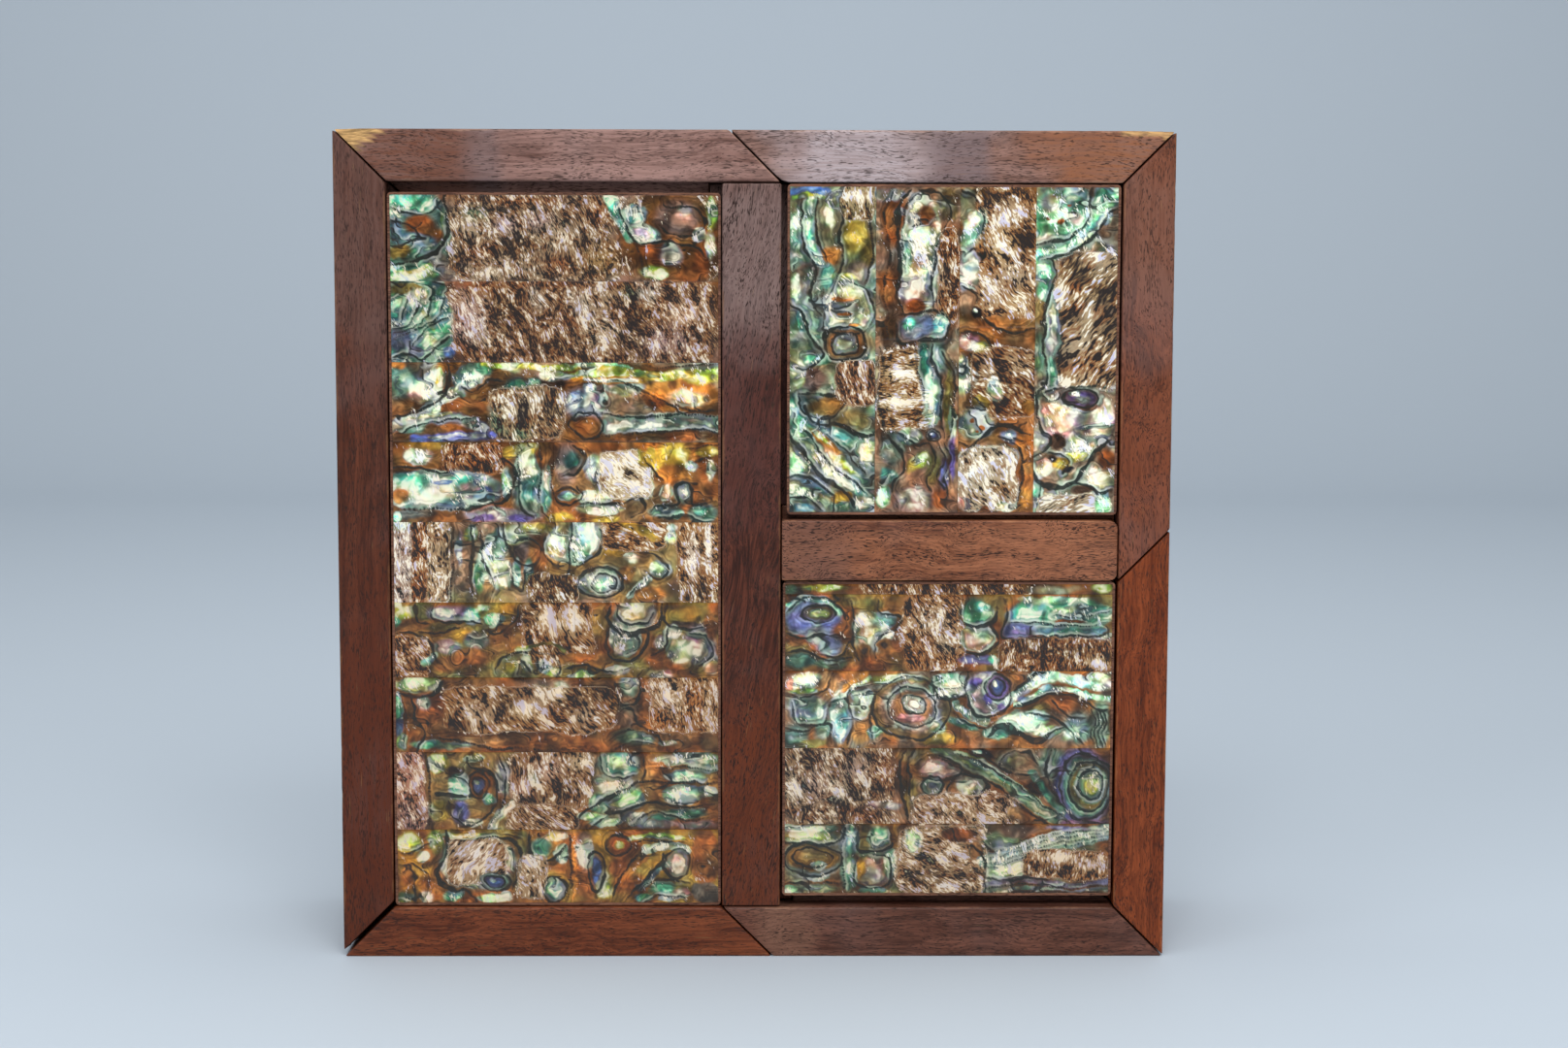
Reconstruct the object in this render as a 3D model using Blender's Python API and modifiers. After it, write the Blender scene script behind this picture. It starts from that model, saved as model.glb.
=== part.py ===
"""Shell box: a square wooden box whose three lift-out lids are faced with strips of cut shell.

It stands on one long edge with its lids to the front. X runs to the right, Y to the back and
Z up, in metres, and the origin is the middle of the footprint.
"""

import math

import bmesh
import bpy
from mathutils import Vector

# Outer sizes
BOX_WIDTH = 0.2032
BOX_HEIGHT = 0.2032
BOX_DEPTH = 0.0635

# Walls and partitions, as wide as their front edges show
WALL = 0.0125
UPRIGHT_WIDTH = 0.0143
UPRIGHT_SHIFT = -0.0008
CROSS_WIDTH = 0.0149
CROSS_SHIFT = -0.0002
LEDGE = 0.003

# Back board, let into a rabbet round the back
BACK_THICKNESS = 0.006
BACK_RABBET = 0.005

# Lids
LID_THICKNESS = 0.0055
LID_SETBACK = 0.0009
LID_CORNER_RADIUS = 0.001
LID_RIM = 0.0006
SHELL_THICKNESS = 0.001
SHELL_CHAMFER = 0.00012

# Clearances
GAP = 0.0003
JOINT_GAP = 0.0004
ARRIS = 0.0005
ARRIS_STEPS = 2

# How far each lid's edges stay from its opening: left, right, bottom and top
TALL_LID_GAPS = (0.00035, 0.00035, 0.0003, 0.0026)
UPPER_LID_GAPS = (0.0015, 0.0006, 0.0013, 0.0004)
LOWER_LID_GAPS = (0.0006, 0.0006, 0.0027, 0.0003)

# Wear and faults of this box
OPEN_MITRE_GAP = 0.0013
TOP_STEP = 0.0004
WORN_SCARF_RADIUS = 0.0035
CHIP = (0.012, 0.0045, 0.0014)
WORN_CORNER = (0.018, 0.0022, 0.0011)

# Each strip of shell is its width, then the lengths of its pieces, in millimetres. A lid's strips
# are stretched to fill its field.
TALL_STRIPS = (
    (20.8, (14, 45, 22)),
    (19.6, (15, 66)),
    (19.4, (38, 43)),
    (19.6, (40, 41)),
    (19.8, (5, 10, 30, 26, 10)),
    (18.6, (23.5, 21.5, 26, 10)),
    (18.6, (38, 43)),
    (19.4, (10.5, 15.5, 27, 28)),
    (18.4, (16.5, 19, 26, 12.5, 7)),
)
UPPER_STRIPS = (
    (21, (30, 49)),
    (20.5, (37, 42)),
    (18.6, (34, 45)),
    (20, (38, 41)),
)
LOWER_STRIPS = (
    (2.6, (80,)),
    (19.2, (44, 36)),
    (19.4, (55, 25)),
    (19.2, (30, 50)),
    (17.6, (15, 34, 31)),
)

# Derived places
HALF_WIDTH = BOX_WIDTH / 2
FRONT = -BOX_DEPTH / 2
BACK = BOX_DEPTH / 2
DEEP_WALL = WALL + LEDGE
UPRIGHT_LEFT = UPRIGHT_SHIFT - UPRIGHT_WIDTH / 2
UPRIGHT_RIGHT = UPRIGHT_SHIFT + UPRIGHT_WIDTH / 2
CROSS_BOTTOM = BOX_HEIGHT / 2 + CROSS_SHIFT - CROSS_WIDTH / 2
CROSS_TOP = BOX_HEIGHT / 2 + CROSS_SHIFT + CROSS_WIDTH / 2
RECESS_FLOOR = FRONT + LID_SETBACK + LID_THICKNESS + GAP
BACK_SEAT = BACK - BACK_THICKNESS - GAP
MITRE_SHIFT = JOINT_GAP / math.sqrt(2)
OPEN_MITRE_SHIFT = (OPEN_MITRE_GAP - JOINT_GAP / 2) * math.sqrt(2)

# Openings for the lids: left, right, bottom and top
TALL_OPENING = (WALL - HALF_WIDTH, UPRIGHT_LEFT, WALL, BOX_HEIGHT - WALL)
UPPER_OPENING = (UPRIGHT_RIGHT, HALF_WIDTH - WALL, CROSS_TOP, BOX_HEIGHT - WALL)
LOWER_OPENING = (UPRIGHT_RIGHT, HALF_WIDTH - WALL, WALL, CROSS_BOTTOM)


def start_clean():
    """Empty the scene and make a collection for the pieces and one for the cutters."""
    for old in list(bpy.data.objects):
        bpy.data.objects.remove(old, do_unlink=True)
    pieces = bpy.data.collections.new("shell_box")
    cutters = bpy.data.collections.new("cutters")
    for collection in (pieces, cutters):
        bpy.context.scene.collection.children.link(collection)
    return pieces, cutters


PIECES, CUTTERS = start_clean()


def finish_of(name, colour, roughness):
    """A Principled material of one colour."""
    material = bpy.data.materials.new(name)
    material.use_nodes = True
    shader = material.node_tree.nodes["Principled BSDF"]
    shader.inputs["Base Color"].default_value = (*colour, 1.0)
    shader.inputs["Roughness"].default_value = roughness
    shader.inputs["Metallic"].default_value = 0.0
    return material


def prism(name, outline, front, back, collection=PIECES):
    """A closed prism. The outline, points in X and Z, runs straight from front to back in Y."""
    curve = bpy.data.curves.new(name + "_outline", "CURVE")
    curve.dimensions = "2D"
    curve.fill_mode = "BOTH"
    curve.extrude = (back - front) / 2
    spline = curve.splines.new("POLY")
    spline.points.add(len(outline) - 1)
    for point, (x, z) in zip(spline.points, outline):
        point.co = (x, z, 0.0, 1.0)
    spline.use_cyclic_u = True
    flat = bpy.data.objects.new(name + "_outline", curve)
    flat.rotation_euler.x = math.pi / 2
    flat.location.y = (front + back) / 2
    collection.objects.link(flat)
    bpy.context.view_layer.update()
    graph = bpy.context.evaluated_depsgraph_get()
    mesh = bpy.data.meshes.new_from_object(flat.evaluated_get(graph))
    solid = bmesh.new()
    solid.from_mesh(mesh)
    bmesh.ops.remove_doubles(solid, verts=solid.verts, dist=1e-6)
    bmesh.ops.dissolve_limit(solid, angle_limit=0.001, verts=solid.verts, edges=solid.edges)
    bmesh.ops.recalc_face_normals(solid, faces=solid.faces)
    solid.to_mesh(mesh)
    solid.free()
    piece = bpy.data.objects.new(name, mesh)
    piece.matrix_world = flat.matrix_world
    collection.objects.link(piece)
    bpy.data.objects.remove(flat, do_unlink=True)
    return piece


def cube_between(name, low, high, collection):
    """A box from its lowest to its highest corner."""
    mesh = bpy.data.meshes.new(name)
    solid = bmesh.new()
    bmesh.ops.create_cube(solid, size=1.0)
    size = [b - a for a, b in zip(low, high)]
    middle = [(a + b) / 2 for a, b in zip(low, high)]
    bmesh.ops.scale(solid, vec=size, verts=solid.verts)
    bmesh.ops.translate(solid, vec=middle, verts=solid.verts)
    solid.to_mesh(mesh)
    solid.free()
    box = bpy.data.objects.new(name, mesh)
    collection.objects.link(box)
    return box


def as_cutter(cutter):
    """Keep a cutter out of renders and show it as wire."""
    cutter.hide_render = True
    cutter.display_type = "WIRE"
    return cutter


def cut(piece, cutter):
    """Take the cutter's shape out of the piece."""
    boolean = piece.modifiers.new("cut " + cutter.name, "BOOLEAN")
    boolean.operation = "DIFFERENCE"
    boolean.solver = "EXACT"
    boolean.object = cutter


def ease(piece, width=ARRIS, steps=ARRIS_STEPS):
    """Take the sharpness off every edge that is a corner."""
    bevel = piece.modifiers.new("eased arrises", "BEVEL")
    bevel.width = width
    bevel.segments = steps
    bevel.limit_method = "ANGLE"
    bevel.angle_limit = math.radians(30)


def on_side(side, along, inward):
    """The X and Z of a point that lies so far clockwise along a side and so far in from it."""
    if side == "top":
        return along - HALF_WIDTH, BOX_HEIGHT - inward
    if side == "right":
        return HALF_WIDTH - inward, BOX_HEIGHT - along
    if side == "bottom":
        return HALF_WIDTH - along, inward
    return inward - HALF_WIDTH, along


def mitred_end(corner, lean):
    """A wall's end at a corner of the box, as points along and in. Lean is 1 at its start, -1 at its end."""
    return [(corner, 0.0), (corner + lean * DEEP_WALL, DEEP_WALL)]


def scarfed_end(partition_edge, direction, ledge_end):
    """A wall's end against a partition: cut at 45 degrees, down to the partition's clockwise edge."""
    outer = partition_edge - WALL + direction * MITRE_SHIFT
    return [(outer, 0.0), (outer + WALL, WALL), (ledge_end, WALL), (ledge_end, DEEP_WALL)]


def rounded_corner(before, corner, after, radius, steps=5):
    """Points of an arc of this radius in place of one corner of an outline."""
    before, corner, after = Vector(before), Vector(corner), Vector(after)
    one = (before - corner).normalized()
    two = (after - corner).normalized()
    half = one.angle(two) / 2
    centre = corner + (one + two).normalized() * (radius / math.sin(half))
    first = corner + one * (radius / math.tan(half)) - centre
    last = corner + two * (radius / math.tan(half)) - centre
    turn = first.angle_signed(last)
    points = []
    for step in range(steps + 1):
        angle = -turn * step / steps
        x = first.x * math.cos(angle) - first.y * math.sin(angle)
        z = first.x * math.sin(angle) + first.y * math.cos(angle)
        points.append((centre.x + x, centre.y + z))
    return points


def rectangle(left, right, bottom, top):
    """The four corners of an upright rectangle."""
    return [(left, bottom), (right, bottom), (right, top), (left, top)]


def rounded_rectangle(left, right, bottom, top, radius):
    """A rectangle whose four corners are arcs."""
    corners = rectangle(left, right, bottom, top)
    outline = []
    for index, corner in enumerate(corners):
        outline += rounded_corner(corners[index - 1], corner, corners[(index + 1) % 4], radius)
    return outline


def recess_cutter(name, opening):
    """The space in front of the ledges that one lid drops into."""
    left, right, bottom, top = opening
    low = (left, FRONT - WALL, bottom)
    high = (right, RECESS_FLOOR, top)
    return as_cutter(cube_between(name, low, high, CUTTERS))


def corner_shaver(name, corner, reach):
    """A cutter whose flat face takes off a corner. Reach is how far it comes along X, Z and Y."""
    along_x, along_z, along_y = reach
    size = 4 * max(abs(along_x), abs(along_z))
    facing = Vector((-1 / along_x, -1 / along_y, -1 / along_z)).normalized()
    on_plane = Vector(corner) + Vector((along_x, 0.0, 0.0))
    down = facing.dot(Vector(corner) - on_plane)
    shaver = cube_between(name, (-size / 2, -size / 2, 0.0), (size / 2, size / 2, size), CUTTERS)
    shaver.rotation_mode = "QUATERNION"
    shaver.rotation_quaternion = facing.to_track_quat("Z", "Y")
    shaver.location = Vector(corner) - facing * down
    return as_cutter(shaver)


RECESSES = [
    recess_cutter("tall_recess", TALL_OPENING),
    recess_cutter("upper_recess", UPPER_OPENING),
    recess_cutter("lower_recess", LOWER_OPENING),
]
RABBET = as_cutter(
    cube_between(
        "back_rabbet",
        (DEEP_WALL - BACK_RABBET - HALF_WIDTH, BACK_SEAT, DEEP_WALL - BACK_RABBET),
        (HALF_WIDTH - DEEP_WALL + BACK_RABBET, BACK + WALL, BOX_HEIGHT - DEEP_WALL + BACK_RABBET),
        CUTTERS,
    )
)


def wall(name, side, start, end, recesses, colour, front=FRONT):
    """One wall: its outline from its two ends, the lid recesses and the back rabbet cut from it."""
    outline = [on_side(side, *point) for point in [*reversed(start), *end]]
    piece = prism(name, outline, front, BACK)
    for index in recesses:
        cut(piece, RECESSES[index])
    cut(piece, RABBET)
    piece.data.materials.append(finish_of(name + "_wood", colour, 0.38))
    return piece


def make_walls():
    """The seven walls. Going clockwise, each scarf comes in to the far edge of its partition."""
    top_near = UPRIGHT_LEFT + HALF_WIDTH - LEDGE - GAP
    top_far = UPRIGHT_RIGHT + HALF_WIDTH
    right_near = BOX_HEIGHT - CROSS_TOP - LEDGE - GAP
    right_far = BOX_HEIGHT - CROSS_BOTTOM
    bottom_near = HALF_WIDTH - UPRIGHT_RIGHT - LEDGE - GAP
    bottom_far = HALF_WIDTH - UPRIGHT_LEFT
    beyond = LEDGE + GAP
    row_end = BOX_WIDTH - MITRE_SHIFT
    column_end = BOX_HEIGHT - MITRE_SHIFT
    start = mitred_end(MITRE_SHIFT, 1)
    left = wall(
        "left_wall",
        "left",
        mitred_end(OPEN_MITRE_SHIFT, 1),
        mitred_end(column_end, -1),
        [0],
        (0.13, 0.045, 0.028),
    )
    top_left = wall(
        "top_wall_left",
        "top",
        start,
        scarfed_end(top_far, -1, top_near),
        [0],
        (0.17, 0.075, 0.05),
    )
    far_end = scarfed_end(top_far, 1, top_far + beyond)
    worn = rounded_corner(far_end[0], far_end[1], far_end[2], WORN_SCARF_RADIUS)
    top_right = wall(
        "top_wall_right",
        "top",
        [far_end[0], *worn, *far_end[2:]],
        mitred_end(row_end, -1),
        [1],
        (0.24, 0.13, 0.1),
        FRONT + TOP_STEP,
    )
    right_upper = wall(
        "right_wall_upper",
        "right",
        start,
        scarfed_end(right_far, -1, right_near),
        [1],
        (0.27, 0.1, 0.045),
    )
    right_lower = wall(
        "right_wall_lower",
        "right",
        scarfed_end(right_far, 1, right_far + beyond),
        mitred_end(column_end, -1),
        [2],
        (0.25, 0.095, 0.045),
    )
    bottom_right = wall(
        "bottom_wall_right",
        "bottom",
        start,
        scarfed_end(bottom_far, -1, bottom_near),
        [2],
        (0.2, 0.1, 0.07),
    )
    bottom_left = wall(
        "bottom_wall_left",
        "bottom",
        scarfed_end(bottom_far, 1, bottom_far + beyond),
        mitred_end(row_end, -1),
        [0],
        (0.27, 0.095, 0.045),
    )
    chip_x, chip_z, chip_y = CHIP
    chip = corner_shaver("chip", (-HALF_WIDTH, FRONT, BOX_HEIGHT), (chip_x, -chip_z, chip_y))
    cut(top_left, chip)
    worn_x, worn_z, worn_y = WORN_CORNER
    corner = (HALF_WIDTH, FRONT + TOP_STEP, BOX_HEIGHT)
    cut(top_right, corner_shaver("worn_corner", corner, (-worn_x, -worn_z, worn_y)))
    for piece in (left, top_left, top_right, right_upper, right_lower, bottom_right, bottom_left):
        ease(piece)


def make_partitions():
    """The upright partition, notched for the cross partition, and the cross partition."""
    left = UPRIGHT_LEFT - LEDGE
    right = UPRIGHT_RIGHT + LEDGE
    notch_bottom = CROSS_BOTTOM - LEDGE - GAP
    notch_top = CROSS_TOP + LEDGE + GAP
    outline = [
        (left, WALL + GAP),
        (right, WALL + GAP),
        (right, notch_bottom),
        (UPRIGHT_RIGHT, notch_bottom),
        (UPRIGHT_RIGHT, notch_top),
        (right, notch_top),
        (right, BOX_HEIGHT - WALL - GAP),
        (left, BOX_HEIGHT - WALL - GAP),
    ]
    upright = prism("upright_partition", outline, FRONT, BACK_SEAT)
    upright.data.materials.append(finish_of("upright_partition_wood", (0.13, 0.06, 0.045), 0.36))
    across = rectangle(
        UPRIGHT_RIGHT + GAP,
        HALF_WIDTH - WALL - GAP,
        CROSS_BOTTOM - LEDGE,
        CROSS_TOP + LEDGE,
    )
    cross = prism("cross_partition", across, FRONT, BACK_SEAT)
    cross.data.materials.append(finish_of("cross_partition_wood", (0.28, 0.11, 0.06), 0.36))
    for recess in RECESSES:
        cut(upright, recess)
    for recess in RECESSES[1:]:
        cut(cross, recess)
    ease(upright)
    ease(cross)


def make_back_board():
    """The board in the rabbet round the back. It is the floor when the box lies flat."""
    inset = DEEP_WALL - BACK_RABBET + GAP
    outline = rectangle(inset - HALF_WIDTH, HALF_WIDTH - inset, inset, BOX_HEIGHT - inset)
    board = prism("back_board", outline, BACK - BACK_THICKNESS, BACK)
    board.data.materials.append(finish_of("back_board_wood", (0.2, 0.09, 0.055), 0.5))
    ease(board)


def make_lid(name, opening, gaps, strips, upright_strips):
    """One lid: a board with a shallow tray in its face, and the pieces of shell laid in the tray."""
    left = opening[0] + gaps[0]
    right = opening[1] - gaps[1]
    bottom = opening[2] + gaps[2]
    top = opening[3] - gaps[3]
    face = FRONT + LID_SETBACK
    outline = rounded_rectangle(left, right, bottom, top, LID_CORNER_RADIUS)
    board = prism(name + "_board", outline, face, face + LID_THICKNESS)
    tray_floor = face + SHELL_THICKNESS + GAP
    low = (left + LID_RIM, face - WALL, bottom + LID_RIM)
    high = (right - LID_RIM, tray_floor, top - LID_RIM)
    cut(board, as_cutter(cube_between(name + "_tray", low, high, CUTTERS)))
    board.data.materials.append(finish_of(name + "_wood", (0.2, 0.075, 0.04), 0.45))
    field = (low[0], high[0], low[2], high[2])
    lay_strips(name + "_shell", field, face, strips, upright_strips)


def shares(lengths, whole):
    """Start and end of each length, with all of them stretched to fill the whole."""
    scale = whole / sum(lengths)
    places = []
    reached = 0.0
    for length in lengths:
        places.append((reached * scale, (reached + length) * scale))
        reached += length
    return places


def lay_strips(name, field, face, strips, upright_strips):
    """The pieces of shell in one tray: strips from the top down, or from the left if upright."""
    left, right, bottom, top = field
    across = right - left if upright_strips else top - bottom
    along = top - bottom if upright_strips else right - left
    widths = shares([strip[0] for strip in strips], across)
    margin = GAP / 2
    for row, ((near, far), (_, lengths)) in enumerate(zip(widths, strips), start=1):
        for column, (first, last) in enumerate(shares(lengths, along), start=1):
            if upright_strips:
                place = (left + near, left + far, top - last, top - first)
            else:
                place = (left + first, left + last, top - far, top - near)
            low = (place[0] + margin, face, place[2] + margin)
            high = (place[1] - margin, face + SHELL_THICKNESS, place[3] - margin)
            tile = cube_between(f"{name}_{row}_{column}", low, high, PIECES)
            tile.data.materials.append(SHELL_FINISHES[(row + column) % len(SHELL_FINISHES)])
            ease(tile, SHELL_CHAMFER, 1)


SHELL_FINISHES = [
    finish_of("rust_shell", (0.36, 0.19, 0.11), 0.2),
    finish_of("aqua_shell", (0.27, 0.5, 0.47), 0.18),
    finish_of("silver_shell", (0.5, 0.46, 0.48), 0.18),
    finish_of("lime_shell", (0.48, 0.5, 0.22), 0.18),
]

make_walls()
make_partitions()
make_back_board()
make_lid("tall_lid", TALL_OPENING, TALL_LID_GAPS, TALL_STRIPS, False)
make_lid("upper_lid", UPPER_OPENING, UPPER_LID_GAPS, UPPER_STRIPS, True)
make_lid("lower_lid", LOWER_OPENING, LOWER_LID_GAPS, LOWER_STRIPS, False)
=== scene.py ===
# %% [markdown]
# # A shell box, dressed
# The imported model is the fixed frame: every piece of wood and shell already has its place and size.
# This lesson gives the wood worn, varnished surfaces and lays cut paua shell in the three lids.

# %% Load the frame
import math

import bpy
import numpy as np
from mathutils import Matrix, Vector


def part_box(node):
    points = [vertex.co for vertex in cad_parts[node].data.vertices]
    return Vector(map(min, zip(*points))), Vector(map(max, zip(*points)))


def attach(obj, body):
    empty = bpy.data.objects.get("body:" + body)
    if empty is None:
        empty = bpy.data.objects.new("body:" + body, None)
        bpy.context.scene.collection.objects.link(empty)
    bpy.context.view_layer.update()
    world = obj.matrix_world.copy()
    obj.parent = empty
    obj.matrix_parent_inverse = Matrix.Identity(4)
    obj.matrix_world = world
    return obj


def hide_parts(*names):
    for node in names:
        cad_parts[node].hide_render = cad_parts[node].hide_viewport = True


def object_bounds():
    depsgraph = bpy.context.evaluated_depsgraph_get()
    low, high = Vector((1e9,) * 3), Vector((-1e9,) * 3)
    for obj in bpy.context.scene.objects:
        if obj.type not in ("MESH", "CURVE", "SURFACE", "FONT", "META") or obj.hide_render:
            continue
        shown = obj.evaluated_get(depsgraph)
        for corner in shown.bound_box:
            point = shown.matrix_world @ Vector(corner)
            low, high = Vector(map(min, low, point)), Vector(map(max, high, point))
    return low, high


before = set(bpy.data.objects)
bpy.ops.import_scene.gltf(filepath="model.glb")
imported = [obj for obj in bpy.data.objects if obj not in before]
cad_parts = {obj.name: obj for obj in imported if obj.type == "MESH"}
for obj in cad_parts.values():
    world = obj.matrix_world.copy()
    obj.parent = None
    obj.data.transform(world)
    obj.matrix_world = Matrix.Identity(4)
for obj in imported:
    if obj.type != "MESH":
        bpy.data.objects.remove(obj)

CAD_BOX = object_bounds()
MM = 0.001
print("frame:", len(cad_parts), "nodes")

# %% [markdown]
# The sizes come from the frame: the boards' own boxes give the widths, and the lid board and the back
# board give the depths of their seats. Only the ledge behind the lids and the gap are given.

# %% Sizes of the frame
BOX_LOW, BOX_HIGH = np.array(CAD_BOX[0]), np.array(CAD_BOX[1])
FRONT, BACK = BOX_LOW[1], BOX_HIGH[1]
BOX_WIDTH = BOX_HIGH[0] - BOX_LOW[0]
BOX_HEIGHT = BOX_HIGH[2]
HALF_WIDTH = BOX_WIDTH / 2
LEDGE = 3 * MM
GAP = 0.3 * MM
DEEP_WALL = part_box("left_wall")[1].x + HALF_WIDTH
WALL = DEEP_WALL - LEDGE
UPRIGHT_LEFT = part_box("upright_partition")[0].x + LEDGE
UPRIGHT_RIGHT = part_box("upright_partition")[1].x - LEDGE
CROSS_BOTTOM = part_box("cross_partition")[0].z + LEDGE
CROSS_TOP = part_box("cross_partition")[1].z - LEDGE
RECESS_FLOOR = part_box("tall_lid_board")[1].y + GAP
BACK_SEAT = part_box("back_board")[0].y - GAP
RABBET_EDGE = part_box("back_board")[0].x + HALF_WIDTH - GAP
print("wall %.1f mm, ledge %.1f mm" % (WALL / MM, LEDGE / MM))

# %% [markdown]
# The camera stands where the photographer's did. Its place was solved from the face's corners and
# joints, as a lens 2700 pixels long on a picture 1616 pixels wide.

# %% Camera
PHOTO_WIDTH = 1616
LENS_IN_PIXELS = 2700
SENSOR = 36.0
CAMERA_PLACE = Vector((-0.5 * MM, FRONT - 636.2 * MM, 173.1 * MM))
CAMERA_PITCH, CAMERA_YAW, CAMERA_ROLL = (math.radians(a) for a in (5.85, 0.69, 0.15))


def new_object(name, data):
    """An object that is linked to the scene."""
    made = bpy.data.objects.new(name, data)
    bpy.context.scene.collection.objects.link(made)
    return made


def make_camera():
    """A camera turned by yaw about Z, then pitched down, then rolled about its own axis."""
    data = bpy.data.cameras.new("camera")
    data.sensor_width = SENSOR
    data.lens = LENS_IN_PIXELS / PHOTO_WIDTH * SENSOR
    data.clip_start = 0.01
    data.clip_end = 20.0
    camera = new_object("camera", data)
    turn = Matrix.Rotation(-CAMERA_YAW, 4, "Z") @ Matrix.Rotation(math.pi / 2 - CAMERA_PITCH, 4, "X")
    camera.matrix_world = Matrix.Translation(CAMERA_PLACE) @ turn @ Matrix.Rotation(CAMERA_ROLL, 4, "Z")
    bpy.context.scene.camera = camera
    return camera


make_camera()

# %% [markdown]
# Everything is photographed on a plain pale sheet that curves up behind the box. The light is soft:
# a large panel above and a little in front, which brightens every edge that faces up, a panel at each
# side of the front, one that lights the sheet behind, and an even glow from all round.

# %% Stage and lights
SHEET_REACH = 2.4
SHEET_CURVE = 0.5
SHEET_COLOUR = (0.56, 0.63, 0.7)


def plain_material(name, colour, roughness):
    """A Principled material with one colour."""
    material = bpy.data.materials.new(name)
    material.use_nodes = True
    shader = material.node_tree.nodes["Principled BSDF"]
    shader.inputs["Base Color"].default_value = (*colour, 1.0)
    shader.inputs["Roughness"].default_value = roughness
    return material


def make_sheet():
    """The floor and backdrop: a flat stretch, a quarter circle, and a straight rise, carried along X."""
    turn = np.linspace(0, math.pi / 2, 24)
    y = np.concatenate([[-SHEET_REACH], SHEET_REACH / 2 + SHEET_CURVE * np.sin(turn)])
    z = np.concatenate([[0.0], SHEET_CURVE * (1 - np.cos(turn))])
    y = np.append(y, y[-1])
    z = np.append(z, SHEET_REACH)
    x = np.array([-SHEET_REACH, SHEET_REACH])
    verts = np.stack([np.repeat(x, len(y)), np.tile(y, 2), np.tile(z, 2)], axis=1)
    near = np.arange(len(y) - 1)
    faces = np.stack([near, near + len(y), near + len(y) + 1, near + 1], axis=1)
    mesh = bpy.data.meshes.new("pale_sheet")
    mesh.from_pydata(verts.tolist(), [], faces.tolist())
    mesh.shade_smooth()
    sheet = new_object("pale_sheet", mesh)
    sheet.data.materials.append(plain_material("pale_paper", SHEET_COLOUR, 0.7))
    return sheet


def soft_panel(name, place, aim, size, power, colour=(1.0, 1.0, 1.0)):
    """A square area light that faces the point it is aimed at."""
    data = bpy.data.lights.new(name, "AREA")
    data.shape = "SQUARE"
    data.size = size
    data.energy = power
    data.color = colour
    lamp = new_object(name, data)
    lamp.location = place
    lamp.rotation_mode = "QUATERNION"
    lamp.rotation_quaternion = (Vector(aim) - Vector(place)).to_track_quat("-Z", "Y")
    return lamp


BOX_MIDDLE = (0.0, 0.0, BOX_HEIGHT / 2)
make_sheet()
soft_panel("panel_backdrop", (0.0, 0.35, 1.5), (0.0, 1.6, 0.25), 1.2, 10.0)
soft_panel("panel_above", (0.05, -0.75, 0.85), BOX_MIDDLE, 0.6, 7.0)
soft_panel("panel_front_left", (-0.9, -0.9, 0.55), BOX_MIDDLE, 0.8, 6.0)
soft_panel("panel_front_right", (0.95, -0.8, 0.55), BOX_MIDDLE, 0.7, 3.5)
world = bpy.data.worlds.new("even_glow")
world.use_nodes = True
world.node_tree.nodes["Background"].inputs["Color"].default_value = (0.9, 0.95, 1.0, 1.0)
world.node_tree.nodes["Background"].inputs["Strength"].default_value = 0.27
bpy.context.scene.world = world
bpy.context.scene.view_settings.view_transform = "Standard"
print("stage and lights are up")

# %% [markdown]
# Materials are built from nodes. A few short helpers keep the wiring readable: `put` adds a node and
# fills its sockets, and the others each add one common node and give back its output.

# %% Node helpers


def fill(tree, sockets, inputs):
    """Link sockets to sockets, or write values into them."""
    for key, value in inputs.items():
        if isinstance(value, bpy.types.NodeSocket):
            tree.links.new(value, sockets[key])
        else:
            sockets[key].default_value = value


def put(tree, kind, inputs=None, **settings):
    """Add a node and fill its sockets."""
    node = tree.nodes.new(kind)
    for key, value in settings.items():
        setattr(node, key, value)
    fill(tree, node.inputs, inputs or {})
    return node


def calc(tree, operation, *values, clamp=False):
    """A Math node's output."""
    inputs = dict(enumerate(values))
    return put(tree, "ShaderNodeMath", inputs, operation=operation, use_clamp=clamp).outputs[0]


def times(tree, one, two, clamp=False):
    """Two values multiplied."""
    return calc(tree, "MULTIPLY", one, two, clamp=clamp)


def ramp(tree, value, factor, base):
    """A value times a factor, plus a base."""
    return calc(tree, "MULTIPLY_ADD", value, factor, base)


def inverse(tree, value, clamp=False):
    """1 minus a value."""
    return calc(tree, "SUBTRACT", 1.0, value, clamp=clamp)


def vector_calc(tree, operation, *values):
    """A Vector Math node's output."""
    return put(tree, "ShaderNodeVectorMath", dict(enumerate(values)), operation=operation).outputs[0]


def stretch(tree, place, factors):
    """A place with its parts multiplied, which draws noise out along the smallest."""
    return vector_calc(tree, "MULTIPLY", place, factors)


def point_value(tree, name, output="Fac"):
    """What the mesh's points carry under a name."""
    return put(tree, "ShaderNodeAttribute", attribute_name=name).outputs[output]


def step_up(tree, value, low, high, top=1.0):
    """0 below low, top above high, and an even rise between, eased at both ends."""
    inputs = {"Value": value, "From Min": low, "From Max": high, "To Min": 0.0, "To Max": top}
    return put(tree, "ShaderNodeMapRange", inputs, interpolation_type="SMOOTHSTEP").outputs[0]


def blend(tree, factor, one, two, mode="MIX"):
    """A Mix node on colours."""
    node = put(tree, "ShaderNodeMix", data_type="RGBA", blend_type=mode)
    one, two = ((*value, 1.0) if isinstance(value, tuple) else value for value in (one, two))
    fill(tree, node.inputs, {0: factor, 6: one, 7: two})
    return node.outputs[2]


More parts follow.
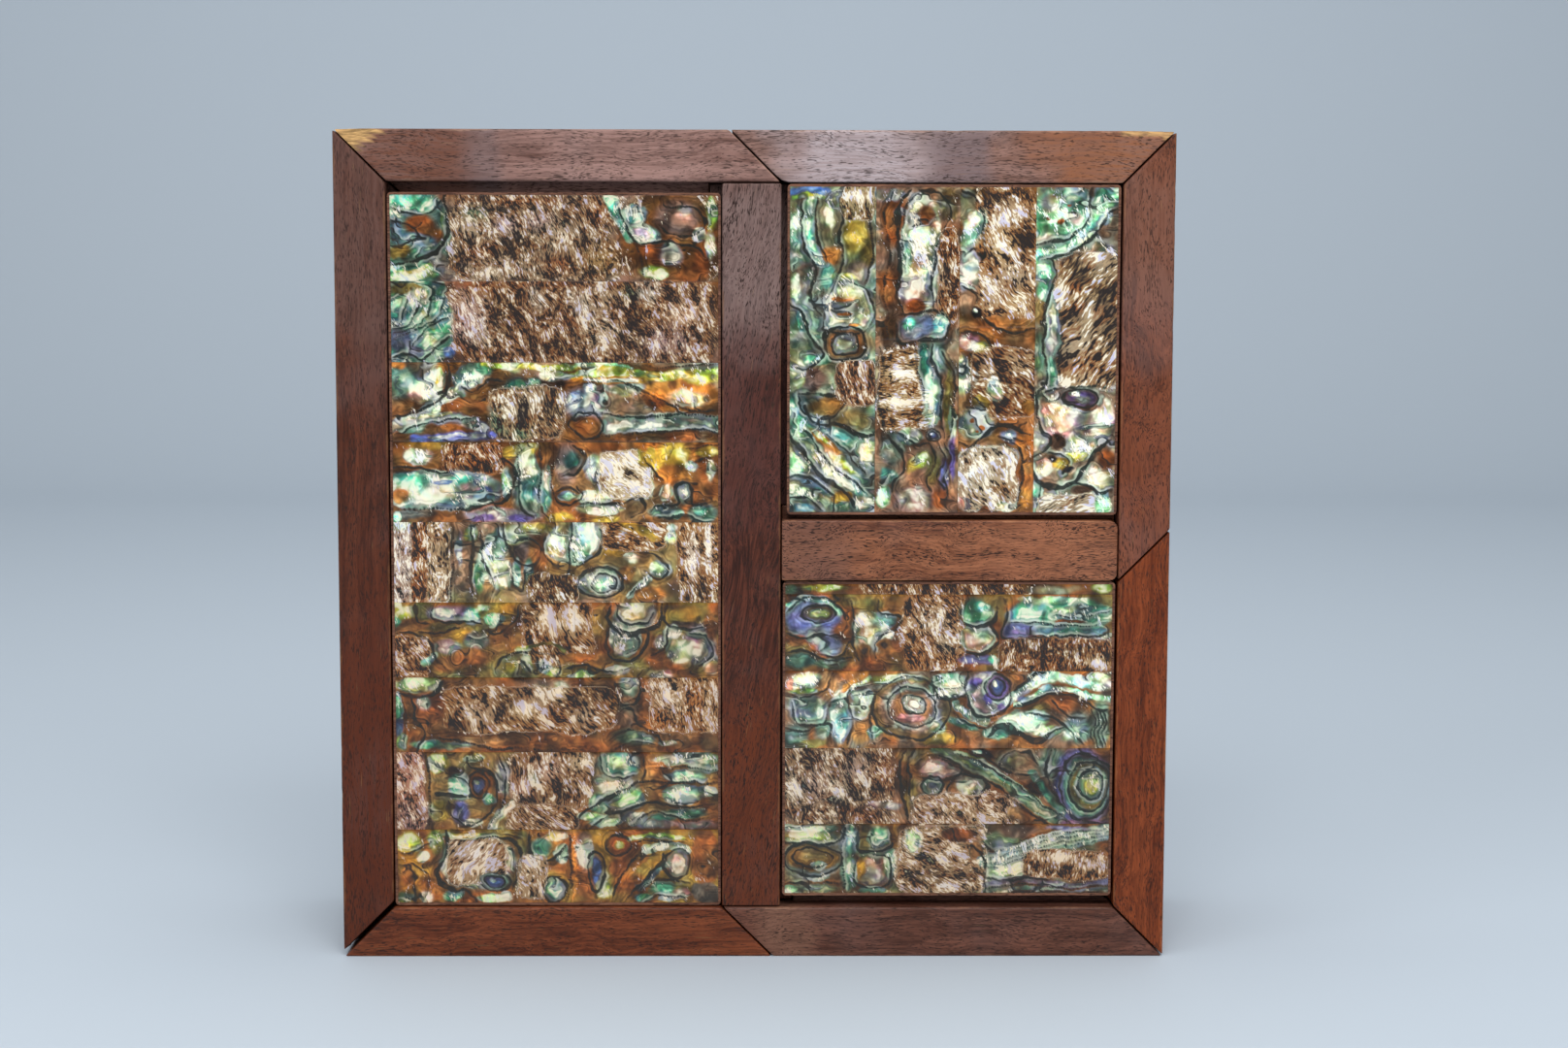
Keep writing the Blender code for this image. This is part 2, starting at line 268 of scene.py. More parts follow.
def noise(tree, place, scale=1.0, detail=3.0, roughness=0.55, distortion=0.0):
    """A Noise Texture's value."""
    inputs = {"Vector": place, "Scale": scale, "Detail": detail, "Roughness": roughness}
    inputs["Distortion"] = distortion
    return put(tree, "ShaderNodeTexNoise", inputs).outputs[0]


def new_group(name, inputs, outputs):
    """A shader node group. Inputs and outputs are name: kind, or name: (kind, default)."""
    tree = bpy.data.node_groups.new(name, "ShaderNodeTree")
    for direction, sockets in (("INPUT", inputs), ("OUTPUT", outputs)):
        for label, kind in sockets.items():
            kind, default = kind if isinstance(kind, tuple) else (kind, None)
            socket = tree.interface.new_socket(label, in_out=direction, socket_type="NodeSocket" + kind)
            if default is not None:
                socket.default_value = default
    return tree, tree.nodes.new("NodeGroupInput").outputs, tree.nodes.new("NodeGroupOutput").inputs


def use_group(tree, group, **inputs):
    """Place a group in a material. Underscores in the names stand for spaces."""
    node = tree.nodes.new("ShaderNodeGroup")
    node.node_tree = group
    fill(tree, node.inputs, {key.replace("_", " "): value for key, value in inputs.items()})
    return node.outputs


def new_material(name):
    """A material, its tree and its shader."""
    material = bpy.data.materials.new(name)
    material.use_nodes = True
    return material, material.node_tree, material.node_tree.nodes["Principled BSDF"]


# %% [markdown]
# The wood is an open-pored red-brown hardwood. Up close its figure is three things: slow bands of
# light and dark, fine streaks, and short dark pores that all lie along the grain. Each is noise
# stretched along the grain, so one group gives all three, with the grain along its own X.

# %% Wood grain group
MM_PER_METRE = (1000.0, 1000.0, 1000.0)
SWAY_STRETCH, SWAY_MM = (0.028, 0.05, 0.05), 9.0
BAND_STRETCH = (0.016, 0.3, 0.3)
STREAK_STRETCH = (0.07, 1.7, 1.7)
PORE_STRETCH, CROWD_STRETCH = (0.55, 4.6, 4.6), (0.05, 0.4, 0.4)
SCRATCH_STRETCH = (0.12, 1.0, 2.6)


def moved_by_seed(tree, place, seed, direction):
    """A place in millimetres, moved far along a direction so that each seed has its own noise."""
    shift = put(tree, "ShaderNodeCombineXYZ", {0: seed, 1: seed, 2: seed}).outputs[0]
    far_away = stretch(tree, shift, direction)
    return vector_calc(tree, "ADD", stretch(tree, place, MM_PER_METRE), far_away)


def make_grain_group():
    """Tone, streaks, pores and height of wood at a place in metres, with the grain along X."""
    inputs = {"Place": "Vector", "Seed": ("Float", 0.0), "Sway": ("Float", 1.0)}
    outputs = {"Tone": "Float", "Streak": "Float", "Pores": "Float", "Height": "Float"}
    tree, given, wanted = new_group("wood_grain", inputs, outputs)
    place = moved_by_seed(tree, given["Place"], given["Seed"], (37.1, 11.7, 23.3))
    wander = calc(tree, "SUBTRACT", noise(tree, stretch(tree, place, SWAY_STRETCH), 1.0, 2.0), 0.5)
    sway = times(tree, wander, times(tree, given["Sway"], SWAY_MM))
    aside = put(tree, "ShaderNodeCombineXYZ", {0: 0.0, 1: sway, 2: sway}).outputs[0]
    swayed = vector_calc(tree, "ADD", place, aside)
    bands = noise(tree, stretch(tree, swayed, BAND_STRETCH), 1.0, 3.0, 0.5)
    streak = noise(tree, stretch(tree, swayed, STREAK_STRETCH), 1.0, 3.0, 0.6)
    pore_field = noise(tree, stretch(tree, swayed, PORE_STRETCH), 1.0, 1.0, 0.5)
    crowd = noise(tree, stretch(tree, swayed, CROWD_STRETCH), 1.0, 2.0)
    level = calc(tree, "ADD", pore_field, times(tree, calc(tree, "SUBTRACT", crowd, 0.5), 0.35))
    pores = step_up(tree, level, 0.56, 0.66)
    fill(tree, wanted, {
        "Tone": step_up(tree, bands, 0.34, 0.66),
        "Streak": step_up(tree, streak, 0.34, 0.66),
        "Pores": pores,
        "Height": calc(tree, "SUBTRACT", times(tree, streak, 0.3), pores),
    })
    return tree


def make_wear_group():
    """Where a worn edge shows: close to an arris, broken up by noise. Distance is in millimetres."""
    inputs = {"Place": "Vector", "Distance": "Float", "Reach": ("Float", 1.0)}
    tree, given, wanted = new_group("edge_wear", inputs, {"Wear": "Float"})
    in_mm = stretch(tree, given["Place"], MM_PER_METRE)
    broad = calc(tree, "SUBTRACT", noise(tree, in_mm, 0.09, 2.0), 0.42)
    fine = calc(tree, "SUBTRACT", noise(tree, in_mm, 0.9, 3.0, 0.7), 0.5)
    broken = calc(tree, "ADD", times(tree, broad, 3.2), times(tree, fine, 1.4))
    near = inverse(tree, calc(tree, "DIVIDE", given["Distance"], given["Reach"]))
    tree.links.new(step_up(tree, calc(tree, "ADD", near, broken), 0.35, 1.15), wanted["Wear"])
    return tree


def make_varnish_group():
    """Pale bloom and handling marks in old varnish: soft blots, and a few fine scratches."""
    inputs = {"Place": "Vector", "Seed": ("Float", 0.0)}
    tree, given, wanted = new_group("old_varnish", inputs, {"Bloom": "Float", "Scratches": "Float"})
    place = moved_by_seed(tree, given["Place"], given["Seed"], (19.0, 5.0, 31.0))
    blots = noise(tree, place, 0.035, 3.0, 0.6)
    scratches = noise(tree, stretch(tree, place, SCRATCH_STRETCH), 1.0, 2.0, 0.6)
    bloom, scratches = step_up(tree, blots, 0.42, 0.72), step_up(tree, scratches, 0.68, 0.76)
    fill(tree, wanted, {"Bloom": bloom, "Scratches": scratches})
    return tree


GRAIN, WEAR, VARNISH = make_grain_group(), make_wear_group(), make_varnish_group()
print("groups:", [group.name for group in bpy.data.node_groups])

# %% [markdown]
# Each board has its own colour, so each gets its own material from one recipe. Pores darken it, bloom
# turns it grey-mauve, the arrises are rubbed through to paler wood, and bare wood shows where it is
# chipped. A tint is a soft stain with its middle and reach along one axis, in millimetres.

# %% Wood material recipe
BARE_WOOD = (0.42, 0.25, 0.1)
PORE_STAIN = (0.018, 0.008, 0.006)
ALONG_X, ALONG_Z = (0.0, 0.0, 0.0), (0.0, math.pi / 2, 0.0)
LEANING_Z = (0.0, math.pi / 2 - 0.17, 0.0)


def scaled(colour, factor):
    """A colour times a factor, with each part 1 at most."""
    return tuple(min(1.0, factor * part) for part in colour)


def soft_stain(tree, place, axis, middle, reach, seed):
    """1 at the middle, fading to 0 at the reach, with an uneven edge."""
    parts = put(tree, "ShaderNodeSeparateXYZ", {0: place}).outputs
    along = times(tree, parts["XYZ".index(axis)], 1000.0)
    off = calc(tree, "ABSOLUTE", calc(tree, "DIVIDE", calc(tree, "SUBTRACT", along, middle), reach))
    shifted = vector_calc(tree, "ADD", place, (seed, seed, seed))
    uneven = times(tree, calc(tree, "SUBTRACT", noise(tree, shifted, 55.0, 3.0, 0.6), 0.5), 1.5)
    return inverse(tree, step_up(tree, calc(tree, "ADD", off, uneven), 0.3, 1.1), clamp=True)


def wood_material(name, grain, dark, light, seed, sway=1.0, bloom=None, bloom_amount=0.3, tints=(),
                  wear_reach=0.5, wear_amount=0.25, rough=0.42, edges=True, pore_amount=0.75,
                  streak_amount=0.55):
    """One board's finish. Grain is ALONG_X, ALONG_Z or LEANING_Z."""
    material, tree, shader = new_material(name)
    place = put(tree, "ShaderNodeTexCoord").outputs["Object"]
    turned = put(tree, "ShaderNodeMapping", {"Vector": place, "Rotation": grain}).outputs[0]
    wood = use_group(tree, GRAIN, Place=turned, Seed=seed, Sway=sway)
    old = use_group(tree, VARNISH, Place=turned, Seed=seed)
    mid = tuple(0.5 * (a + b) for a, b in zip(dark, light))
    colour = blend(tree, wood["Tone"], dark, light)
    streaked = blend(tree, wood["Streak"], scaled(dark, 0.55), scaled(mid, 1.25))
    colour = blend(tree, streak_amount, colour, streaked)
    if bloom:
        colour = blend(tree, times(tree, old["Bloom"], bloom_amount), colour, bloom)
    for number, (axis, middle, reach, stain, amount) in enumerate(tints):
        mask = soft_stain(tree, place, axis, middle, reach, seed + 0.37 * number)
        mask = times(tree, mask, ramp(tree, wood["Streak"], 0.5, 0.6))
        colour = blend(tree, times(tree, mask, amount, clamp=True), colour, stain)
    colour = blend(tree, times(tree, wood["Pores"], pore_amount), colour, PORE_STAIN)
    colour = blend(tree, times(tree, old["Scratches"], 0.18), colour, BARE_WOOD)
    roughness = ramp(tree, wood["Pores"], 0.25, rough)
    roughness = ramp(tree, old["Bloom"], 0.1, roughness)
    if edges:
        distance = point_value(tree, "arris_distance")
        bare = point_value(tree, "bare_wood")
        worn = use_group(tree, WEAR, Place=place, Distance=distance, Reach=wear_reach)["Wear"]
        rubbed = blend(tree, 0.5, scaled(light, 2.1), BARE_WOOD)
        colour = blend(tree, times(tree, worn, wear_amount), colour, rubbed)
        torn = blend(tree, wood["Streak"], scaled(BARE_WOOD, 0.6), scaled(BARE_WOOD, 1.5))
        colour = blend(tree, bare, colour, torn)
        roughness = ramp(tree, bare, 0.3, roughness)
    bump = put(tree, "ShaderNodeBump", {"Height": wood["Height"], "Strength": 0.35, "Distance": 0.00012})
    fill(tree, shader.inputs, {
        "Base Color": colour, "Roughness": roughness, "Normal": bump.outputs[0],
        "Specular IOR Level": 0.18, "Coat Weight": 0.06, "Coat Roughness": 0.22,
    })
    return material


MAUVE_BLOOM = (0.21, 0.14, 0.135)
GREY_BLOOM = (0.34, 0.28, 0.28)
WOODS = {
    "left_wall": wood_material(
        "left_wall_wood", ALONG_Z, (0.05, 0.012, 0.005), (0.125, 0.034, 0.015), 1.0, sway=0.7,
        bloom=MAUVE_BLOOM, bloom_amount=0.2,
        tints=[("Z", 175, 40, (0.115, 0.06, 0.048), 0.7), ("Z", 40, 60, (0.085, 0.016, 0.004), 0.85)],
    ),
    "top_wall_left": wood_material(
        "top_wall_left_wood", ALONG_X, (0.11, 0.045, 0.032), (0.33, 0.19, 0.16), 2.0, sway=0.8,
        bloom=GREY_BLOOM, bloom_amount=0.22,
        tints=[("X", -66, 6, (0.13, 0.1, 0.105), 0.5), ("X", -86, 20, (0.13, 0.045, 0.024), 0.85),
               ("X", -30, 30, (0.34, 0.2, 0.17), 0.6)],
    ),
    "top_wall_right": wood_material(
        "top_wall_right_wood", ALONG_X, (0.13, 0.06, 0.042), (0.31, 0.18, 0.15), 3.0, sway=0.9,
        bloom=GREY_BLOOM, bloom_amount=0.3,
        tints=[("X", 24, 22, (0.42, 0.35, 0.36), 0.85), ("X", 50, 9, (0.17, 0.125, 0.13), 0.75),
               ("X", 86, 26, (0.25, 0.095, 0.045), 0.9)],
    ),
    "right_wall_upper": wood_material(
        "right_wall_upper_wood", ALONG_Z, (0.085, 0.022, 0.009), (0.23, 0.07, 0.032), 4.0, sway=1.4,
        bloom=MAUVE_BLOOM, bloom_amount=0.25,
        tints=[("Z", 180, 26, (0.18, 0.085, 0.06), 0.6), ("Z", 125, 26, (0.19, 0.05, 0.02), 0.6)],
    ),
    "right_wall_lower": wood_material(
        "right_wall_lower_wood", ALONG_Z, (0.1, 0.018, 0.004), (0.26, 0.058, 0.016), 5.0, sway=1.3,
    ),
    "bottom_wall_right": wood_material(
        "bottom_wall_right_wood", ALONG_X, (0.06, 0.02, 0.012), (0.17, 0.066, 0.042), 6.0, sway=1.0,
        bloom=MAUVE_BLOOM, bloom_amount=0.2, tints=[("X", 8, 10, (0.2, 0.1, 0.065), 0.6)],
    ),
    "bottom_wall_left": wood_material(
        "bottom_wall_left_wood", ALONG_X, (0.075, 0.016, 0.006), (0.21, 0.056, 0.02), 7.0, sway=1.2,
    ),
    "upright_partition": wood_material(
        "upright_partition_wood", LEANING_Z, (0.034, 0.009, 0.005), (0.135, 0.036, 0.018), 8.0, sway=1.4,
        pore_amount=0.95, streak_amount=0.75, bloom=MAUVE_BLOOM, bloom_amount=0.25,
        tints=[("Z", 174, 30, (0.19, 0.125, 0.112), 0.85), ("Z", 128, 26, (0.07, 0.025, 0.022), 0.5),
               ("Z", 30, 50, (0.115, 0.024, 0.006), 0.8)],
    ),
    "cross_partition": wood_material(
        "cross_partition_wood", ALONG_X, (0.11, 0.032, 0.014), (0.36, 0.138, 0.066), 9.0, sway=2.6,
        pore_amount=0.9, bloom=MAUVE_BLOOM, bloom_amount=0.2,
        tints=[("X", 14, 14, (0.15, 0.07, 0.05), 0.6), ("X", 72, 20, (0.34, 0.13, 0.065), 0.6)],
    ),
}
LID_WOOD = wood_material("lid_wood", ALONG_X, (0.09, 0.036, 0.022), (0.24, 0.11, 0.065), 10.0, edges=False)
BACK_WOOD = wood_material("back_wood", ALONG_Z, (0.09, 0.034, 0.02), (0.21, 0.09, 0.05), 11.0, sway=2.2,
                          bloom=MAUVE_BLOOM, bloom_amount=0.2, rough=0.55, edges=False)
print("wood finishes:", len(WOODS) + 2)

# %% [markdown]
# The boards of the frame are planks with a ledge behind the lids. Each is its own cross-section
# carried along its length. The ends are sheared to 45 degrees at the corners and scarfs, and the last
# rings shrink a little, so every joint shows the soft line of two rubbed arrises.

# %% Cross-sections
ARRIS_RADIUS = 0.55 * MM
RUBBED_RADIUS = 0.9 * MM
END_RADIUS = 0.4 * MM
COARSE, FINE = 4.0 * MM, 1.1 * MM
SLIVER = 0.05 * MM


def rounded_section(corners):
    """Points round a closed outline. A corner is (across, depth, radius, part): with a radius it
    becomes an arc of four chords, and the sides are divided finely at the front, coarsely behind."""
    corner_points = [np.array(corner[:2]) for corner in corners]
    stretches = []
    for index, (_, _, radius, part) in enumerate(corners):
        here = corner_points[index]
        before = corner_points[index - 1] - here
        after = corner_points[(index + 1) % len(corners)] - here
        before = before / np.linalg.norm(before)
        after = after / np.linalg.norm(after)
        middle = here + (before + after) * radius
        turn = np.linspace(0, math.pi / 2, 5 if radius else 1)[:, None]
        arc = middle - after * radius * np.cos(turn) - before * radius * np.sin(turn)
        stretches.append((arc if radius else here[None], part))
    points, parts = [], []
    for index, (arc, part) in enumerate(stretches):
        points += list(arc)
        parts += [part] * len(arc)
        following, next_part = stretches[(index + 1) % len(stretches)]
        gap = following[0] - arc[-1]
        length = np.linalg.norm(gap)
        near_front = max(arc[-1][1], following[0][1]) < RECESS_FLOOR + MM
        count = int(length // (FINE if near_front else COARSE))
        shares = np.linspace(0, 1, count + 2)[1:-1]
        points += [arc[-1] + gap * share for share in shares]
        parts += [part if part == next_part else "wall"] * count
    return np.array(points), np.array(parts)


def outward(points):
    """The outward normal at each point of a closed outline."""
    along = np.roll(points, -1, axis=0) - np.roll(points, 1, axis=0)
    normal = np.stack([along[:, 1], -along[:, 0]], axis=1)
    normal /= np.linalg.norm(normal, axis=1)[:, None]
    x, y = points.T
    turning = np.sum(x * np.roll(y, -1) - np.roll(x, -1) * y)
    return normal * np.sign(turning)


def distance_to(points, corners):
    """From each point to the nearest of the corners."""
    apart = points[:, None, :] - np.array(corners)[None, :, :]
    return np.linalg.norm(apart, axis=2).min(axis=1)


def wall_section(front, rubbed_inside):
    """A wall's section: across from its outer face, and depth. Its ledge is a part of its own."""
    inside = RUBBED_RADIUS if rubbed_inside else ARRIS_RADIUS
    return [
        (0.0, front, ARRIS_RADIUS, "wall"),
        (WALL, front, inside, "wall"),
        (WALL, RECESS_FLOOR, 0.0, "wall"),
        (WALL + SLIVER, RECESS_FLOOR, 0.0, "ledge"),
        (DEEP_WALL, RECESS_FLOOR, 0.3 * MM, "ledge"),
        (DEEP_WALL, BACK_SEAT, 0.0, "ledge"),
        (WALL + SLIVER, BACK_SEAT, 0.0, "ledge"),
        (WALL, BACK_SEAT, 0.0, "wall"),
        (RABBET_EDGE, BACK_SEAT, 0.0, "wall"),
        (RABBET_EDGE, BACK, 0.4 * MM, "wall"),
        (0.0, BACK, ARRIS_RADIUS, "wall"),
    ]


def partition_section(half_width):
    """A partition's section: across from its middle, and depth, with a ledge on both sides."""
    half, wide = half_width, half_width + LEDGE
    return [
        (-half, FRONT, ARRIS_RADIUS, "wall"),
        (half, FRONT, ARRIS_RADIUS, "wall"),
        (half, RECESS_FLOOR, 0.0, "wall"),
        (wide, RECESS_FLOOR, 0.3 * MM, "ledge"),
        (wide, BACK_SEAT, 0.0, "ledge"),
        (-wide, BACK_SEAT, 0.0, "ledge"),
        (-wide, RECESS_FLOOR, 0.3 * MM, "ledge"),
        (-half, RECESS_FLOOR, 0.0, "wall"),
    ]


# %% [markdown]
# Noise made with numpy roughens arrises here and bends the shell's patterns later. It is a fixed table
# of random heights, eased between its points, with finer layers added.

# %% Seeded noise
TABLE = 128
HEIGHTS = np.random.default_rng(11).uniform(-1, 1, (TABLE, TABLE))


def table_noise(x, y, seed=0.0):
    """Value noise from -1 to 1: the four nearest table heights, mixed by an eased share."""
    x, y = x + 17.3 * seed, y + 9.1 * seed
    column, row = np.floor(x).astype(int), np.floor(y).astype(int)
    a, b = x - column, y - row
    a, b = a * a * (3 - 2 * a), b * b * (3 - 2 * b)
    low = HEIGHTS[row % TABLE, column % TABLE] * (1 - a) + HEIGHTS[row % TABLE, (column + 1) % TABLE] * a
    high_row = (row + 1) % TABLE
    high = HEIGHTS[high_row, column % TABLE] * (1 - a) + HEIGHTS[high_row, (column + 1) % TABLE] * a
    return low * (1 - b) + high * b


def cloud(x, y, seed=0.0, layers=3):
    """Layers of noise, each twice as fine and half as strong."""
    layer = np.arange(layers)
    return sum(table_noise(x * 2**k, y * 2**k, seed + k) / 2**k for k in layer)


# %% [markdown]
# The sweep itself works on whole arrays: a ring of section points for every step along the board,
# then the faces between rings, and one flat face at each end.

# %% Sweep a board
RING_STEP = 1.6 * MM
ARRIS_ROUGHNESS, DENT_DEPTH = 0.06 * MM, 0.5 * MM


def ended_rings(section, parts, start, end, extra):
    """Across, depth and along for every ring: four shrinking rings at each end, even steps between."""
    normal = outward(section)
    turn = np.linspace(0, math.pi / 2, 4)
    inset = END_RADIUS * (1 - np.cos(turn))
    back_off = END_RADIUS * (1 - np.sin(turn))
    across, depth, along = [], [], []

    def add_ring(outline, place):
        across.append(outline[:, 0])
        depth.append(outline[:, 1])
        along.append(place)

    longest = np.max(end(section[:, 0], parts) - start(section[:, 0], parts))
    shares = np.union1d(np.linspace(0, 1, int(longest / RING_STEP)), np.array(extra))
    for place, amount in zip(back_off[::-1], inset[::-1]):
        shrunk = section - normal * amount
        add_ring(shrunk, start(shrunk[:, 0], parts) + place)
    first, last = start(section[:, 0], parts) + END_RADIUS, end(section[:, 0], parts) - END_RADIUS
    for share in shares[1:-1]:
        add_ring(section, first + (last - first) * share)
    for place, amount in zip(back_off, inset):
        shrunk = section - normal * amount
        add_ring(shrunk, end(shrunk[:, 0], parts) - place)
    return np.array(across), np.array(depth), np.array(along)


def mesh_object(name, verts, faces, attributes, smooth_angle=35):
    """A mesh object from arrays, turned right side out, with its point attributes."""
    mesh = bpy.data.meshes.new(name)
    mesh.from_pydata(verts.tolist(), [], faces)
    for label, values in attributes.items():
        values = np.asarray(values, np.float32)
        if values.ndim == 1:
            mesh.attributes.new(label, "FLOAT", "POINT").data.foreach_set("value", values)
        else:
            filled = np.ones((len(values), 4), np.float32)
            filled[:, :3] = values
            mesh.attributes.new(label, "FLOAT_COLOR", "POINT").data.foreach_set("color", filled.ravel())
    mesh.calc_loop_triangles()
    corners = np.zeros(len(mesh.loop_triangles) * 3, np.int32)
    mesh.loop_triangles.foreach_get("vertices", corners)
    a, b, c = (verts[corners[k::3]] for k in range(3))
    if np.einsum("ij,ij->", a, np.cross(b, c)) < 0:
        mesh.flip_normals()
    mesh.shade_smooth()
    mesh.set_sharp_from_angle(angle=math.radians(smooth_angle))
    return new_object(name, mesh)


def sweep_board(name, corners, start, end, place_of, arrises, seed, extra=(), reshape=None, worn_end=False):
    """Carry a section from start to end. Both give the along-position for an across-position. Reshape
    moves the points at the end, and says how bare the wood is. A worn end is rubbed like an arris."""
    section, parts = rounded_section(corners)
    across, depth, along = ended_rings(section, parts, start, end, extra)
    rings, around = across.shape
    near_arris = distance_to(section, arrises)[None, :].repeat(rings, axis=0)
    to_end = np.maximum(end(across, parts[None, :]) - along, 0.0)
    edge = np.minimum(near_arris, to_end) if worn_end else near_arris
    rough = cloud(along / (2.2 * MM), across / (9 * MM) + depth / (20 * MM), seed)
    dent = np.clip(cloud(along / (6 * MM), across / (6 * MM), seed + 3.7) - 0.75, 0, 1)
    soft = np.exp(-near_arris / (0.5 * MM)) * (ARRIS_ROUGHNESS * rough + DENT_DEPTH * dent)
    normal = outward(section)[None]
    across = across - normal[..., 0] * np.maximum(soft, 0)
    depth = depth - normal[..., 1] * np.maximum(soft, 0)
    bare = np.zeros_like(across)
    if reshape:
        across, depth, along, bare = reshape(across, depth, along, bare)
    x, z = place_of(along, across)
    verts = np.stack([x, depth, z], axis=-1).reshape(-1, 3)
    ring, point = np.meshgrid(np.arange(rings - 1), np.arange(around), indexing="ij")
    after = (point + 1) % around
    faces = np.stack([ring * around + point, ring * around + after,
                      (ring + 1) * around + after, (ring + 1) * around + point], axis=-1)
    faces = faces.reshape(-1, 4).tolist()
    faces.append(list(range(around)))
    faces.append(list(range((rings - 1) * around, rings * around)))
    attributes = {"arris_distance": edge.ravel() / MM, "bare_wood": bare.ravel()}
    board = mesh_object(name, verts, faces, attributes)
    board.data.materials.append(WOODS[name])
    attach(board, "root")
    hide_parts(name)
    board.name = name + "_dressed"
    print(board.name, len(verts), "points")
    return board

# %% [markdown]
# Going clockwise, each wall starts with a mitre at a corner of the box. Where a partition meets it, the
# wall is split by a scarf, a 45 degree cut that comes in to the partition's far edge. An end is then a
# rule that gives the along-position for every across-position: sheared in front, square at the ledge.

# %% Ends of the walls
JOINT_GAP = 0.4 * MM
MITRE_SHIFT = JOINT_GAP / math.sqrt(2)
OPEN_MITRE_SHIFT = 1.556 * MM
TOP_STEP = 0.4 * MM
LEDGE_GAP = LEDGE + GAP


def mitre(corner, lean):
    """At a corner of the box: the end moves on as fast as the section goes in. Lean is 1 or -1."""
    return lambda across, parts: corner + lean * across


def scarf(far_edge, direction, ledge_end):
    """At a partition: sheared in front of it, and square where the ledge stops."""
    outer = far_edge - WALL + direction * MITRE_SHIFT

    def end(across, parts):
        return np.where(parts == "ledge", ledge_end, outer + across)

    return end


def top_side(along, across):
    """The top wall runs to the right and comes in downwards."""
    return along - HALF_WIDTH, BOX_HEIGHT - across


def right_side(along, across):
    """The right wall runs down and comes in to the left."""
    return HALF_WIDTH - across, BOX_HEIGHT - along


def bottom_side(along, across):
    """The bottom wall runs to the left and comes in upwards."""
    return HALF_WIDTH - along, across


def left_side(along, across):
    """The left wall runs up and comes in to the right."""
    return across - HALF_WIDTH, along


# %% [markdown]
# Two places are worn or broken. The outer corner at the top left has lost a chip, and the top right
# corner is rubbed down along a strip. Both push the surface in to a slanting plane and roughen it. The
# inner point of the top right board's scarf is worn round, so its end follows an arc there. The mitre
# at the bottom left has opened, and it closes a few millimetres behind the face.

# %% Chip, worn corner and worn scarf
CHIP_REACH = (12.5 * MM, 9.8 * MM, 1.6 * MM)
WORN_REACH = (18 * MM, 2.2 * MM, 1.1 * MM)
WORN_SCARF_RADIUS = 3.5 * MM
CLOSING_DEPTH, CLOSING_REACH = 3 * MM, 20 * MM


def plane_cut(corner_distance, across, depth, reach, seed, roughness):
    """Push points beyond a slanting plane back to it. Reach is the plane's cut on the three edges
    from the corner: along the board, across it and in depth."""
    along_reach, across_reach, depth_reach = reach
    beyond = 1 - corner_distance / along_reach - across / across_reach - depth / depth_reach
    torn = roughness * cloud(corner_distance / (1.6 * MM), across / (0.7 * MM), seed)
    beyond = np.maximum(beyond + torn, 0)
    steep = 1 / across_reach**2 + 1 / depth_reach**2
    across = across + beyond / across_reach / steep
    depth = depth + beyond / depth_reach / steep
    return across, depth, np.clip(beyond * 14, 0, 1)


def chip_top_left(across, depth, along, bare):
    """The chip starts at the wall's own start."""
    in_front = depth < RECESS_FLOOR
    across_new, depth_new, torn = plane_cut(along, across, depth - FRONT, CHIP_REACH, 2.0, 0.1)
    across = np.where(in_front, across_new, across)
    depth = np.where(in_front, depth_new + FRONT, depth)
    return across, depth, along, np.where(in_front, torn, bare)


def close_bottom_left(across, depth, along, bare):
    """The open mitre at the left wall's start closes behind the face, so no light comes through."""
    deep = np.clip((depth - FRONT) / CLOSING_DEPTH - 1, 0, 1)
    near_start = np.clip(1 - (along - across - OPEN_MITRE_SHIFT) / CLOSING_REACH, 0, 1)
    return across, depth, along - deep * near_start * (OPEN_MITRE_SHIFT - MITRE_SHIFT), bare


def wear_top_right(across, depth, along, bare):
    """The worn corner is at the wall's far end, and its long strip runs back along the arris."""
    step_front = FRONT + TOP_STEP
    in_front = depth < RECESS_FLOOR
    left_of_end = BOX_WIDTH - along
    across_new, depth_new, torn = plane_cut(left_of_end, across, depth - step_front, WORN_REACH, 4.0, 0.12)
    across = np.where(in_front, across_new, across)
    depth = np.where(in_front, depth_new + step_front, depth)
    return across, depth, along, np.where(in_front, 0.8 * torn, bare)


def worn_scarf(far_edge, ledge_end):
    """The scarf's outline with its inner corner, where shear meets straight, replaced by an arc."""
    sheared = scarf(far_edge, 1, ledge_end)
    reach = WORN_SCARF_RADIUS * math.tan(math.pi / 8)
    slope_start = WALL - reach * math.sin(math.pi / 4)
    corner = far_edge + MITRE_SHIFT

    def end(across, parts):
        into = np.clip((across - slope_start) / (WALL - slope_start), 0, 1)
        worn = sheared(across, parts) + reach * into**2
        return np.where((parts == "ledge") | (across > WALL), np.maximum(ledge_end, corner), worn)

    return end


# %% [markdown]
# The seven walls follow. Where a distance is measured clockwise from a corner, it is worked out from
# the partition that the wall meets.

# %% The seven walls
TOP_NEAR, TOP_FAR = UPRIGHT_LEFT + HALF_WIDTH - LEDGE_GAP, UPRIGHT_RIGHT + HALF_WIDTH
RIGHT_NEAR, RIGHT_FAR = BOX_HEIGHT - CROSS_TOP - LEDGE_GAP, BOX_HEIGHT - CROSS_BOTTOM
BOTTOM_NEAR, BOTTOM_FAR = HALF_WIDTH - UPRIGHT_RIGHT - LEDGE_GAP, HALF_WIDTH - UPRIGHT_LEFT
ROW_END, COLUMN_END = BOX_WIDTH - MITRE_SHIFT, BOX_HEIGHT - MITRE_SHIFT


def wall(name, start, end, side, seed, front=FRONT, rubbed=False, reshape=None, worn_end=False):
    """One wall, swept from its start to its end along its side of the box."""
    arrises = [(0.0, front), (WALL, front), (0.0, BACK)]
    section = wall_section(front, rubbed)
    return sweep_board(name, section, start, end, side, arrises, seed, reshape=reshape, worn_end=worn_end)


